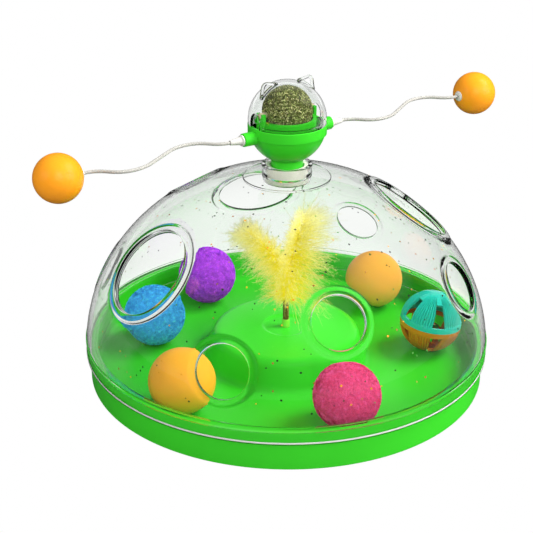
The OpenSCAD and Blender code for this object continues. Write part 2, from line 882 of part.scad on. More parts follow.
// A point of the course with its bent part drawn out to the room that there is for it
function drawn(p) = [
    min(p[0], bend_start) + stretch * max(0, min(p[0] - bend_start, bend_run))
        + max(0, p[0] - bend_start - bend_run),
    p[1],
    atan2(sin(p[2]), stretch * cos(p[2]))
];

// A round section carried along the course
module arm_wire(side) {
    course = [for (p = course_points(0, wire_start, 0, 0)) drawn(p)];
    rings = len(course);
    n = wire_sides;
    points = [
        for (p = course)
            for (j = [0:n - 1])
                let (a = 360 * j / n)
                [p[0] - wire_r * cos(a) * sin(p[2]), p[1] + wire_r * cos(a) * cos(p[2]), wire_r * sin(a)]
    ];
    skin = [
        for (i = [0:rings - 2])
            for (j = [0:n - 1])
                [i * n + j, (i + 1) * n + j, (i + 1) * n + (j + 1) % n, i * n + (j + 1) % n]
    ];
    ends = [[for (j = [0:n - 1]) j], [for (j = [n - 1:-1:0]) (rings - 1) * n + j]];
    color([0.93, 0.92, 0.9])
        on_arm(side)
            polyhedron(points = points, faces = concat(skin, ends));
}

module arm_wire_left() {
    arm_wire(-1);
}

module arm_wire_right() {
    arm_wire(1);
}

module ball_grommet(side) {
    face = arm_reach - arm_ball_r;
    color([0.95, 0.95, 0.94])
        on_arm(side)
            difference() {
                rod(face - grommet_h / 2, face + grommet_h / 2, grommet_d / 2);
                rod(face - grommet_h, face + grommet_h, wire_r + grip_gap);
                translate([arm_reach, 0, 0])
                    sphere(r = arm_ball_r + grip_gap);
            }
}

module ball_grommet_left() {
    ball_grommet(-1);
}

module ball_grommet_right() {
    ball_grommet(1);
}

// Hollow ball with a tube inside that grips the wire
module arm_ball(side) {
    face = arm_reach - arm_ball_r;
    color([1, 0.66, 0.08])
        on_arm(side)
            difference() {
                union() {
                    translate([arm_reach, 0, 0])
                        hollow_ball(arm_ball_r, ball_wall);
                    rod(face + ball_wall / 2, face + wire_grip + ball_wall, wire_r + ball_wall);
                }
                rod(face - cut, face + wire_grip + grip_gap, wire_r + grip_gap);
            }
}

module arm_ball_left() {
    arm_ball(-1);
}

module arm_ball_right() {
    arm_ball(1);
}

module plush_ball_purple() {
    color([0.58, 0.22, 0.8])
        on_track(purple_angle, ball_z)
            sphere(r = ball_r);
}

module plush_ball_blue() {
    color([0.16, 0.46, 0.88])
        on_track(blue_angle, ball_z, blue_inset)
            sphere(r = ball_r);
}

module plush_ball_pink() {
    color([0.92, 0.2, 0.46])
        on_track(pink_angle, ball_z)
            sphere(r = ball_r);
}

module plain_ball(angle) {
    color([0.96, 0.7, 0.2])
        on_track(angle, floor_h + rest_gap + plain_ball_r)
            hollow_ball(plain_ball_r, ball_wall);
}

module plain_ball_front() {
    plain_ball(front_angle);
}

module plain_ball_back() {
    plain_ball(back_angle);
}

// Half of the bell ball: a shell with tapered windows above a plain band at the seam
module bell_half() {
    window_top = ball_r - cap_h;
    window = [[-window_w / 2, seam_band], [window_w / 2, seam_band],
        [window_top_w / 2, window_top], [-window_top_w / 2, window_top]];
    difference() {
        intersection() {
            hollow_ball(ball_r, shell_t);
            cylinder(h = ball_d, r = ball_d);
        }
        for (i = [0:window_count - 1])
            rotate([90, 0, window_turn + i * 360 / window_count])
                linear_extrude(height = ball_d)
                    polygon(window);
    }
}

module bell_ball_upper() {
    color([0.1, 0.75, 0.65])
        on_track(bell_angle, ball_z)
            rotate([0, bell_lean, 0])
                bell_half();
}

module bell_ball_lower() {
    color([0.8, 0.45, 0.08])
        on_track(bell_angle, ball_z)
            rotate([0, bell_lean, 0])
                mirror([0, 0, 1])
                    bell_half();
}

module jingle_bell() {
    color([0.85, 0.68, 0.3])
        on_track(bell_angle, jingle_z)
            difference() {
                hollow_ball(jingle_r, jingle_t);
                for (turn = [0, 90])
                    rotate([0, 0, turn])
                        translate([-jingle_d, -jingle_slot_w / 2, jingle_slot_z])
                            cube([2 * jingle_d, jingle_slot_w, jingle_d]);
            }
}

module bell_clapper() {
    color([0.6, 0.6, 0.62])
        on_track(bell_angle, clapper_z)
            sphere(r = clapper_r);
}

base_tray();
rubber_pads();
feather_socket();
feather_tube();
plume_left();
plume_right();
dome_shell();
bearing_bush();
rotor_bowl();
thrust_washer();
retaining_washer();
spindle_screw();
catnip_cradle();
catnip_ball();
catnip_axle();
cat_ear_cover();
arm_boot_left();
arm_boot_right();
arm_wire_left();
arm_wire_right();
ball_grommet_left();
ball_grommet_right();
arm_ball_left();
arm_ball_right();
plush_ball_purple();
plush_ball_blue();
plush_ball_pink();
plain_ball_front();
plain_ball_back();
bell_ball_upper();
bell_ball_lower();
jingle_bell();
bell_clapper();
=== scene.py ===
import math

import bmesh
import bpy
import numpy as np
from bpy.props import FloatProperty, IntProperty, PointerProperty
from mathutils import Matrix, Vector
from mathutils.geometry import delaunay_2d_cdt


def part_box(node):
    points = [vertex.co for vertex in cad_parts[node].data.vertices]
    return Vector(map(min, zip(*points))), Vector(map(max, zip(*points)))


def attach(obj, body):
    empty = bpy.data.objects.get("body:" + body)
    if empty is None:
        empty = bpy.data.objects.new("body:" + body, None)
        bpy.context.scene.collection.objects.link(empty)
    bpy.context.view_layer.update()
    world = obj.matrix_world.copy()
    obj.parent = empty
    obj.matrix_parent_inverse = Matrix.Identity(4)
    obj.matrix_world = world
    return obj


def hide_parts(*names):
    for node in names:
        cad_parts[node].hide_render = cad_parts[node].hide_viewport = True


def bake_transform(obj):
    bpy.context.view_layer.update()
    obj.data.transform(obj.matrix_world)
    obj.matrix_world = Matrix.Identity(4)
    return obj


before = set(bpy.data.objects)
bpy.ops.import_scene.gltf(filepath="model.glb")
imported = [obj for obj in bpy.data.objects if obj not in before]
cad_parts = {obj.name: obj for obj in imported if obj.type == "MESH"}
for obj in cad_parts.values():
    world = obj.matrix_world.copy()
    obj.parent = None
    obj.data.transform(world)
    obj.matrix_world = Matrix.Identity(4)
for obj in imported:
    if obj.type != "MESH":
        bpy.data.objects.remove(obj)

bl_info = {
    "name": "Windmill Cat Toy",
    "version": (1, 0, 0),
    "blender": (4, 5, 0),
    "location": "View3D > Sidebar > Windmill Toy",
    "description": "Builds the looks of a windmill cat toy on its packed frame",
    "category": "Add Mesh",
}

MM = 0.001
TAU = 2 * math.pi
UP = np.array([0.0, 0.0, 1.0])
# A paw hole counts as large from this radius on, in millimetres
LARGE_HOLE = 20.0

# Paw holes: angle round the axis and above the dome's lower edge in degrees, radius in millimetres
PAW_HOLES = (
    (-146.5, 36.5, 27.5), (9.5, 48.0, 27.5), (102.0, 33.5, 27.5),
    (-74.0, 31.0, 15.5), (-19.0, 26.5, 15.5), (-107.0, 18.0, 15.5),
    (170.0, 19.0, 15.5), (147.0, 53.0, 15.5), (64.5, 18.0, 15.5),
)


def number(name, default, low, high):
    return FloatProperty(name=name, default=default, min=low, max=high)


def whole(name, default, low, high):
    return IntProperty(name=name, default=default, min=low, max=high)


class ToySizes(bpy.types.PropertyGroup):
    """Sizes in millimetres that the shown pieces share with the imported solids."""

    base_r: number("Tray radius", 125.0, 60.0, 200.0)
    base_h: number("Dome edge height", 17.4, 8.0, 40.0)
    rim_top: number("Tray rim height", 24.4, 8.0, 50.0)
    base_wall: number("Tray wall", 3.0, 1.0, 6.0)
    floor_h: number("Floor height", 6.2, 3.0, 20.0)
    floor_t: number("Floor thickness", 2.2, 1.0, 5.0)
    mound_r: number("Mound radius", 50.0, 20.0, 70.0)
    mound_top: number("Mound top", 27.0, 10.0, 40.0)
    dome_r: number("Dome radius", 127.6, 60.0, 200.0)
    dome_h: number("Dome height", 113.9, 50.0, 200.0)
    dome_wall: number("Dome wall", 2.2, 1.0, 5.0)
    rim_w: number("Paw hole rim width", 6.0, 2.0, 10.0)
    rim_rise: number("Paw hole rim rise", 0.8, 0.2, 3.0)
    rim_step: number("Width of the rim's step", 2.6, 0.2, 4.0)
    cup_r: number("Cup radius", 15.6, 8.0, 30.0)
    cup_bottom: number("Cup bottom", 124.3, 50.0, 200.0)
    cup_top: number("Cup top", 136.9, 50.0, 220.0)
    bowl_r: number("Bowl radius", 23.8, 10.0, 40.0)
    bowl_rim: number("Bowl rim", 162.6, 80.0, 250.0)
    arm_angle: number("Arm angle", 34.0, -180.0, 180.0)
    arm_z: number("Arm height", 156.9, 80.0, 250.0)
    arm_reach: number("Arm reach", 148.4, 80.0, 250.0)
    arm_ball_r: number("End ball radius", 13.8, 5.0, 25.0)
    cover_r: number("Cover radius", 23.6, 10.0, 40.0)
    cover_z: number("Cover centre", 164.7, 80.0, 250.0)
    catnip_r: number("Catnip radius", 15.4, 5.0, 25.0)
    catnip_z: number("Catnip centre", 169.7, 80.0, 250.0)
    track_r: number("Track radius", 94.5, 40.0, 150.0)
    ball_r: number("Ball radius", 20.0, 8.0, 30.0)
    plain_r: number("Plain ball radius", 19.8, 8.0, 30.0)
    windows: whole("Windows round the bell ball", 5, 3, 8)


class ToyDetail(bpy.types.PropertyGroup):
    """Counts of the fine pieces and the strength of the lamps."""

    fibres: whole("Fibres on a plush ball", 28000, 100, 60000)
    barbs: whole("Barbs on a plume", 1500, 50, 4000)
    flecks: whole("Flecks on the dome", 400, 0, 2000)
    flakes: whole("Leaf flakes on the catnip", 10500, 0, 20000)
    key_power: number("Key lamp", 25.8, 0.0, 200.0)
    fill_power: number("Fill lamp", 8.6, 0.0, 200.0)
    left_power: number("Left lamp", 6.0, 0.0, 200.0)
    right_power: number("Right lamp", 11.0, 0.0, 200.0)
    sky: number("Sky", 0.36, 0.0, 5.0)


def sizes():
    return bpy.context.scene.toy_sizes


def detail():
    return bpy.context.scene.toy_detail


def srgb(r, g, b):
    """Linear colour of 0..255 screen values."""
    v = np.array([r, g, b]) / 255.0
    lin = np.where(v <= 0.04045, v / 12.92, ((v + 0.055) / 1.055) ** 2.4)
    return (float(lin[0]), float(lin[1]), float(lin[2]), 1.0)


def colors(*tones):
    """Linear colours of several screen tones, as rows."""
    return np.array([srgb(*tone)[:3] for tone in tones])


# Mesh helpers

def pack(*arrays):
    """Arrays side by side, along a new last axis."""
    return np.stack(arrays, axis=-1)


def unit(v):
    """Vectors at length 1."""
    return v / np.linalg.norm(v, axis=-1, keepdims=True)


def circle(n):
    """Angles of n points round a circle."""
    return np.arange(n) * TAU / n


def turned(axis, angle):
    """Matrix of a turn about X, Y or Z, which are axes 0, 1 and 2."""
    i, j = (axis + 1) % 3, (axis + 2) % 3
    m = np.eye(3)
    m[i, i] = m[j, j] = math.cos(angle)
    m[j, i], m[i, j] = math.sin(angle), -math.sin(angle)
    return m


def flat_map(t, az):
    """Flat map of a round cap: (t cos az, t sin az)."""
    return pack(t * np.cos(az), t * np.sin(az))


def from_flat(p):
    """t and az of points on the flat map."""
    return np.hypot(p[:, 0], p[:, 1]), np.arctan2(p[:, 1], p[:, 0])


def open_edges(faces):
    """Pairs of points on the edges that only one face uses."""
    n = faces.shape[1]
    ends = np.concatenate([faces[:, [k, (k + 1) % n]] for k in range(n)])
    pairs, uses = np.unique(np.sort(ends, axis=1), axis=0, return_counts=True)
    return pairs[uses == 1]


def edge_walls(rim, n):
    """Quads from the open edges of a surface to those of its copy, n points further on."""
    return pack(rim[:, 0], rim[:, 1], rim[:, 1] + n, rim[:, 0] + n)


def box_middle(node):
    """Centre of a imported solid's box, in millimetres."""
    lo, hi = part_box(node)
    return (np.array(lo) + np.array(hi)) / 2 / MM


def grid_faces(nu, nv, wrap_u=False, wrap_v=False):
    """Quads of an nu by nv grid of points, row by row."""
    i = np.arange(nu if wrap_u else nu - 1)
    j = np.arange(nv if wrap_v else nv - 1)
    i, j = np.meshgrid(i, j, indexing="ij")
    i1 = (i + 1) % nu
    j1 = (j + 1) % nv
    quads = pack(i * nv + j, i1 * nv + j, i1 * nv + j1, i * nv + j1)
    return quads.reshape(-1, 4)


def build_mesh(name, verts, faces):
    """A mesh of points in millimetres and of arrays of triangles or quads."""
    faces = [np.asarray(f) for f in faces if len(f)]
    counts = np.concatenate([np.full(len(f), f.shape[1]) for f in faces])
    loops = np.concatenate([f.ravel() for f in faces])
    mesh = bpy.data.meshes.new(name)
    mesh.vertices.add(len(verts))
    mesh.vertices.foreach_set("co", (np.asarray(verts) * MM).astype(np.float32).ravel())
    mesh.loops.add(len(loops))
    mesh.loops.foreach_set("vertex_index", loops.astype(np.int32))
    mesh.polygons.add(len(counts))
    starts = np.concatenate([[0], np.cumsum(counts)[:-1]])
    mesh.polygons.foreach_set("loop_start", starts.astype(np.int32))
    mesh.update(calc_edges=True)
    return mesh


def weld(mesh, gap=0.001):
    """Joins points closer than gap, in millimetres, and turns the faces outwards."""
    bm = bmesh.new()
    bm.from_mesh(mesh)
    bmesh.ops.remove_doubles(bm, verts=bm.verts, dist=gap * MM)
    bmesh.ops.dissolve_degenerate(bm, edges=bm.edges, dist=gap * MM * 0.1)
    bmesh.ops.recalc_face_normals(bm, faces=bm.faces)
    bm.to_mesh(mesh)
    bm.free()


def piece(name, verts, faces, look, body, slot, nodes=(), sharp=38.0, join=True, tint=None, bend=None):
    """Adds a piece that rides on a body, or, when bend is given, stays where it is made on no body, and stands for
    the named solids.
    """
    mesh = build_mesh(name, verts, faces)
    if tint is not None:
        layer = mesh.color_attributes.new(name="tint", type="FLOAT_COLOR", domain="POINT")
        rgba = np.ones((len(verts), 4), dtype=np.float32)
        rgba[:, :3] = tint
        layer.data.foreach_set("color", rgba.ravel())
    if join:
        weld(mesh)
    mesh.shade_smooth()
    if sharp < 180:
        mesh.set_sharp_from_angle(angle=math.radians(sharp))
    mesh.materials.append(material(look))
    obj = bpy.data.objects.new(name, mesh)
    bpy.context.scene.collection.objects.link(obj)
    if bend:
        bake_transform(obj)
    else:
        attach(obj, body)
    if nodes:
        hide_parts(*nodes)
    return obj


def paint(node, look):
    """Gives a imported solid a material."""
    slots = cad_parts[node].data.materials
    slots.clear()
    slots.append(material(look))


class Parts:
    """Collects points, faces and tints of several surfaces for one piece."""

    def __init__(self):
        self.verts, self.faces, self.tints, self.count = [], [], [], 0

    def add(self, verts, faces, tint=None):
        verts = np.asarray(verts, dtype=float).reshape(-1, 3)
        self.verts.append(verts)
        for f in faces:
            if len(f):
                self.faces.append(np.asarray(f) + self.count)
        if tint is not None:
            self.tints.append(np.broadcast_to(np.asarray(tint, dtype=float), (len(verts), 3)))
        self.count += len(verts)

    def all(self):
        return np.concatenate(self.verts), self.faces

    def tint(self):
        return np.concatenate(self.tints)


def rounded(points, steps=6):
    """Outline of corners (x, z, cut) whose corners are parabolas: (1-s)^2 a + 2 s (1-s) c + s^2 b, with a and b at
    the cut on both sides."""
    points = [np.array(p, dtype=float) for p in points]
    out = [points[0][:2]]
    for k in range(1, len(points) - 1):
        c, cut = points[k][:2], points[k][2]
        before, after = points[k - 1][:2] - c, points[k + 1][:2] - c
        if cut <= 0:
            out.append(c)
            continue
        lb, la = np.linalg.norm(before), np.linalg.norm(after)
        a = c + before / lb * min(cut, 0.48 * lb)
        b = c + after / la * min(cut, 0.48 * la)
        for s in np.linspace(0, 1, steps + 1):
            out.append((1 - s) ** 2 * a + 2 * s * (1 - s) * c + s * s * b)
    out.append(points[-1][:2])
    return np.array(out)


def sweep(outline, a):
    """P(a, k) = (r_k cos a, r_k sin a, z_k) at the angles a."""
    r, z = outline[:, 0], outline[:, 1]
    return pack(np.outer(np.cos(a), r), np.outer(np.sin(a), r), np.broadcast_to(z, (len(a), len(z))))


def revolve(outline, n):
    """The outline swept round a whole turn."""
    return sweep(outline, circle(n)).reshape(-1, 3), [grid_faces(n, len(outline), wrap_u=True)]


def along_arm(verts, side):
    """Turns points whose +Z is the arm's outward axis to the right or the left arm."""
    s = sizes()
    a = math.radians(s.arm_angle + (0 if side > 0 else 180))
    out = np.array([math.cos(a), math.sin(a), 0.0])
    across = np.array([-math.sin(a), math.cos(a), 0.0])
    verts = np.asarray(verts)
    return verts[:, 2:3] * out + verts[:, 0:1] * across + verts[:, 1:2] * UP + s.arm_z * UP


def tube(path, radius, sides):
    """P(i, b) = c_i + r (cos b n_i + sin b z), with n_i level and square to the path."""
    path = np.asarray(path, dtype=float)
    step = unit(np.gradient(path, axis=0))
    level = unit(np.cross(UP, step))
    top = np.cross(step, level)
    b = circle(sides)[None, :, None]
    r = np.broadcast_to(np.asarray(radius, dtype=float), (len(path),))[:, None, None]
    p = path[:, None] + r * (np.cos(b) * level[:, None] + np.sin(b) * top[:, None])
    return p.reshape(-1, 3), [grid_faces(len(path), sides, wrap_v=True)]


def sphere_grid(r, nu, nv, dent):
    """P(a, e) = r (cos e cos a, cos e sin a, sin e), less a dent that is a function of the point's direction."""
    e = np.linspace(-math.pi / 2, math.pi / 2, nv)
    d = sweep(pack(np.cos(e), np.sin(e)), circle(nu))
    return (d * (r - dent(d))[..., None]).reshape(-1, 3), [grid_faces(nu, nv, wrap_u=True)]


def waves(points, count, scale, seed):
    """Smooth noise about 0: the mean of sin(k_i . p + f_i) over random waves k_i."""
    rng = np.random.default_rng(seed)
    k = rng.normal(size=(count, 3)) * scale
    f = rng.uniform(0, TAU, count)
    return np.sin(points @ k.T + f).mean(axis=-1) * math.sqrt(2 * count) / 2


def spread(count):
    """Evenly spread directions: z_i = 1 - (2i+1)/n, turned by the golden angle."""
    i = np.arange(count)
    z = 1 - (2 * i + 1) / count
    a = i * math.pi * (3 - math.sqrt(5))
    r = np.sqrt(1 - z * z)
    return pack(r * np.cos(a), r * np.sin(a), z)


def track_place(angle, z):
    """Point over the balls' track at an angle in degrees."""
    s = sizes()
    a = math.radians(angle)
    return np.array([s.track_r * math.cos(a), s.track_r * math.sin(a), z])


def inside(loop, pts):
    """True for points inside a closed loop, by crossings of a level ray."""
    x, y = pts[:, 0:1], pts[:, 1:2]
    x0, y0 = loop[:, 0], loop[:, 1]
    x1, y1 = np.roll(x0, -1), np.roll(y0, -1)
    span = (y0 > y) != (y1 > y)
    dy = np.where(y1 == y0, 1e-12, y1 - y0)
    hit = x < (x1 - x0) * (y - y0) / dy + x0
    return (span & hit).sum(axis=1) % 2 == 1


def fill_between(outer, holes, gap, lines=()):
    """Triangles of the flat region inside one loop and outside others, along further closed lines, on a
    triangular lattice."""
    loops = [outer] + list(holes) + list(lines)
    low, high = outer.min(axis=0), outer.max(axis=0)
    xs = np.arange(low[0], high[0], gap)
    ys = np.arange(low[1], high[1], gap * math.sqrt(3) / 2)
    gx, gy = np.meshgrid(xs, ys)
    gx = gx + (np.arange(len(ys)) % 2)[:, None] * gap / 2
    pts = pack(gx.ravel(), gy.ravel())
    keep = inside(outer, pts)
    for h in holes:
        keep &= ~inside(h, pts)
    pts = pts[keep]
    for loop in loops:
        near = np.full(len(pts), np.inf)
        for part in np.array_split(loop, max(1, len(loop) // 32)):
            near = np.minimum(near, np.linalg.norm(pts[:, None] - part[None], axis=-1).min(axis=1))
        pts = pts[near > gap * 0.55]
    coords = np.concatenate(loops + [pts])
    edges, start = [], 0
    for loop in loops:
        n = len(loop)
        edges += [(start + i, start + (i + 1) % n) for i in range(n)]
        start += n
    got = delaunay_2d_cdt([Vector(c) for c in coords], edges, [], 0, 1e-9)
    out = np.array([tuple(v) for v in got[0]])
    tris = np.array([f for f in got[2] if len(f) == 3])
    mid = out[tris].mean(axis=1)
    keep = inside(outer, mid)
    for h in holes:
        keep &= ~inside(h, mid)
    return out, tris[keep]


# Node helpers

def new_material(name):
    mat = bpy.data.materials.new(name)
    mat.use_nodes = True
    mat.node_tree.nodes.clear()
    return mat, mat.node_tree


def add(tree, kind, *slots, **values):
    """A shader node whose inputs, by name or by place, are set to a value or linked to a socket."""
    node = tree.nodes.new("ShaderNode" + kind)
    for key, value in [*values.items(), *enumerate(slots)]:
        name = key.replace("_", " ") if isinstance(key, str) else key
        if isinstance(name, str) and name not in node.inputs:
            setattr(node, key, value)
        elif isinstance(value, bpy.types.NodeSocket):
            tree.links.new(value, node.inputs[name])
        else:
            node.inputs[name].default_value = value
    return node


def calc(tree, operation, a, b):
    """Result of a sum on two values or sockets."""
    return add(tree, "Math", a, b, operation=operation).outputs["Value"]


def remap(tree, value, **limits):
    """A value taken from one range to another."""
    return add(tree, "MapRange", Value=value, **limits).outputs["Result"]


def noise(tree, scale, fine, span=None):
    """Smooth noise fixed to the piece, from 0 to 1 or over a given span."""
    coord = add(tree, "TexCoord").outputs["Object"]
    fac = add(tree, "TexNoise", Scale=scale, Detail=fine, Vector=coord).outputs["Fac"]
    return remap(tree, fac, To_Min=span[0], To_Max=span[1]) if span else fac


def moulded_group():
    """Shared look of moulded plastic: colour that varies slightly, uneven gloss and a fine grain."""
    name = "MouldedPlastic"
    if name in bpy.data.node_groups:
        return bpy.data.node_groups[name]
    g = bpy.data.node_groups.new(name, "ShaderNodeTree")
    for way, sockets in (("INPUT", (("Color", "Color"), ("Gloss", "Float"), ("Grain", "Float"))),
                         ("OUTPUT", (("Color", "Color"), ("Roughness", "Float"), ("Normal", "Vector")))):
        for label, kind in sockets:
            g.interface.new_socket(label, in_out=way, socket_type="NodeSocket" + kind)
    come = g.nodes.new("NodeGroupInput").outputs
    go = g.nodes.new("NodeGroupOutput").inputs
    shade = noise(g, 28.0, 3.0, (0.93, 1.07))
    tone = add(g, "HueSaturation", Color=come["Color"], Value=shade)
    bump = add(g, "Bump", Distance=0.0002, Strength=come["Grain"], Height=noise(g, 1400.0, 2.0))
    g.links.new(tone.outputs["Color"], go["Color"])
    g.links.new(calc(g, "MULTIPLY", come["Gloss"], shade), go["Roughness"])
    g.links.new(bump.outputs["Normal"], go["Normal"])
    return g


def plastic(name, color, gloss, grain, glow=0.0, shine=0.5):
    """Moulded plastic with the shared grain; glow is light scattered below the surface."""
    mat, tree = new_material(name)
    look = add(tree, "Group", node_tree=moulded_group(), Color=color, Gloss=gloss, Grain=grain).outputs
    shader = add(tree, "BsdfPrincipled", IOR=1.48, Specular_IOR_Level=shine, Subsurface_Weight=glow,
                 Subsurface_Scale=0.004, Base_Color=look["Color"], Roughness=look["Roughness"], Normal=look["Normal"])
    add(tree, "OutputMaterial", Surface=shader.outputs["BSDF"])
    return mat


def clear(name, color):
    """Clear plastic: it bends the view, and lamps shine through it."""
    mat, tree = new_material(name)
    let_by = 0.945
    shader = add(tree, "BsdfPrincipled", IOR=1.46, Base_Color=color, Transmission_Weight=1.0,
                 Roughness=noise(tree, 18.0, 4.0, (0.0, 0.02)))
    open_way = add(tree, "BsdfTransparent", Color=(let_by, let_by, let_by, 1.0))
    shadow = add(tree, "LightPath").outputs["Is Shadow Ray"]
    mix = add(tree, "MixShader", shadow, shader.outputs["BSDF"], open_way.outputs["BSDF"])
    add(tree, "OutputMaterial", Surface=mix.outputs["Shader"])
    return mat


def tinted(name, rough, sheen=0.0, sheen_tint=(1, 1, 1, 1), through=0.0):
    """Colour from the piece's tint with small mottling; through is the share of light let by."""
    mat, tree = new_material(name)
    color = add(tree, "VertexColor", layer_name="tint").outputs["Color"]
    mottle = noise(tree, 420.0, 3.0, (0.82, 1.18))
    tone = add(tree, "HueSaturation", Color=color, Value=mottle).outputs["Color"]
    last = add(tree, "BsdfPrincipled", Roughness=rough, Sheen_Weight=sheen, Sheen_Tint=sheen_tint,
               Sheen_Roughness=0.5, Specular_IOR_Level=0.2, Base_Color=tone)
    if through:
        thin = add(tree, "BsdfTranslucent", Color=tone)
        last = add(tree, "MixShader", through, last.outputs[0], thin.outputs["BSDF"])
    add(tree, "OutputMaterial", Surface=last.outputs[0])
    return mat


def metal(name, color, rough):
    """Plated metal with fine brush marks."""
    mat, tree = new_material(name)
    marks = noise(tree, 900.0, 2.0, (rough * 0.7, rough * 1.3))
    shader = add(tree, "BsdfPrincipled", Metallic=1.0, Base_Color=color, Roughness=marks)
    add(tree, "OutputMaterial", Surface=shader.outputs["BSDF"])
    return mat


# plastic: colour, gloss, grain, glow, shine; clear: colour; metal: colour, roughness;
# tinted: roughness, sheen, tint of the sheen, share of light let by
LOOKS = {
    "green": (plastic, srgb(56, 203, 39), 0.32, 0.04, 0.0, 0.3),
    "white": (plastic, srgb(208, 206, 199), 0.45, 0.06),
    "amber": (plastic, srgb(248, 156, 24), 0.34, 0.02),
    "orange": (plastic, srgb(238, 170, 46), 0.5, 0.05, 0.15),
    "cream": (plastic, srgb(244, 243, 228), 0.4, 0.05),
    "beige": (plastic, srgb(218, 204, 172), 0.45, 0.08),
    "tube": (plastic, srgb(92, 66, 22), 0.4, 0.12),
    "rubber": (plastic, srgb(40, 40, 42), 0.8, 0.2),
    # Pale opaque band at the dome's lip: a painted highlight for the bright line along the clear edge
    "lip_edge": (plastic, srgb(218, 208, 216), 0.25, 0.03),
    "wire": (plastic, srgb(176, 174, 167), 0.45, 0.0),
    "teal": (plastic, srgb(38, 198, 176), 0.22, 0.02, 0.1),
    "brown_amber": (plastic, srgb(214, 128, 24), 0.22, 0.02, 0.15),
    "socket": (plastic, srgb(128, 214, 66), 0.25, 0.02, 0.3),
    "clear": (clear, (0.985, 0.995, 0.988, 1.0)),
    "clear_cover": (clear, (0.98, 0.99, 0.985, 1.0)),
    "steel": (metal, (0.62, 0.62, 0.64, 1.0), 0.28),
    "brass": (metal, (0.86, 0.62, 0.26, 1.0), 0.25),
    "plush": (tinted, 0.95, 0.02),
    "down": (tinted, 0.8, 0.3, (1.0, 0.95, 0.5, 1.0), 0.5),
    "leaf": (tinted, 0.85),
    "fleck": (tinted, 0.5),
}


def material(name):
    """Each shared material, made on its first use."""
    if name in bpy.data.materials:
        return bpy.data.materials[name]
    make, *values = LOOKS[name]
    return make(name, *values)


# Tray

class TOY_OT_tray(bpy.types.Operator):
    """Green tray with its rolling floor, mound and pad seats"""

    bl_idname = "toy.tray"
    bl_label = "Tray"

    def execute(self, context):
        s = sizes()
        rim = s.base_r - s.base_wall
        dish = s.mound_top - 1.2
        under = s.floor_h - s.floor_t
        outline = rounded([
            (0, dish, 0), (13.6, dish, 1.2), (15.2, s.mound_top, 1.0), (s.mound_r - 3.6, s.mound_top - 1.45, 5.4),
            (s.mound_r + 0.9, s.floor_h, 5.0), (rim, s.floor_h, 3.0), (rim, s.rim_top, 0.5),
            (s.base_r, s.rim_top, 0.6), (s.base_r + 0.4, 0.35, 0.6), (rim, 0.35, 0.5), (rim, under, 1.0),
            (s.mound_r - 2.2, under, 1.5), (s.mound_r - 5.2, dish - 2.6, 3.0), (0, dish - 2.2, 0),
        ])
        parts = Parts()
        parts.add(*revolve(outline, 288))
        seat = np.array([(0, 2.0), (7.1, 2.0), (7.1, 1.0), (9.0, 1.0), (9.0, under + 0.1)])
        seat_circle = 95
        for k in range(4):
            a = (k + 0.5) * TAU / 4
            v, f = revolve(seat, 48)
            parts.add(v + seat_circle * np.array([math.cos(a), math.sin(a), 0]), f)
        piece("tray", *parts.all(), "green", "base", "green_plastic", ("base_tray",))
        paint("rubber_pads", "rubber")
        return {"FINISHED"}


# Dome

def dome_point(t, az, lift):
    """P(t, az) on the dome: (R sin t cos az, R sin t sin az, h0 + H cos t), moved along its normal by lift."""
    s = sizes()
    r, z = s.dome_r * np.sin(t), s.dome_h * np.cos(t)
    lean = np.sin(t) / s.dome_r
    n = unit(pack(lean * np.cos(az), lean * np.sin(az), np.cos(t) / s.dome_h))
    p = pack(r * np.cos(az), r * np.sin(az), s.base_h + z)
    return p + n * np.asarray(lift)[..., None]


def dome_coords(p):
    """t and az of points on the dome."""
    s = sizes()
    return (np.arctan2(np.hypot(p[..., 0], p[..., 1]) / s.dome_r, (p[..., 2] - s.base_h) / s.dome_h),
            np.arctan2(p[..., 1], p[..., 0]))


def hole_circle(az, el, radius, turn):
    """Points on the dome at a distance from a paw hole's axis: p = c + d + k n, with k solved so that p lies on
    the dome."""
    s = sizes()
    a, e = math.radians(az), math.radians(el)
    t = 1 / math.sqrt((math.cos(e) / s.dome_r) ** 2 + (math.sin(e) / s.dome_h) ** 2)
    c = np.array([t * math.cos(e) * math.cos(a), t * math.cos(e) * math.sin(a), t * math.sin(e)])
    w = np.array([1 / s.dome_r ** 2, 1 / s.dome_r ** 2, 1 / s.dome_h ** 2])
    n = unit(c * w)
    e1 = np.array([-math.sin(a), math.cos(a), 0.0])
    e2 = np.cross(n, e1)
    radius = np.asarray(radius, dtype=float)[..., None]
    p = c + radius * (np.cos(turn)[..., None] * e1 + np.sin(turn)[..., None] * e2)
    qa = (n * n * w).sum()
    qb = 2 * (p * n * w).sum(axis=-1)
    qc = (p * p * w).sum(axis=-1) - 1
    k = (-qb + np.sqrt(np.maximum(0, qb * qb - 4 * qa * qc))) / (2 * qa)
    return p + k[..., None] * n + s.base_h * UP


def dome_flat(p):
    """Points of the dome on the flat map."""
    return flat_map(*dome_coords(p))


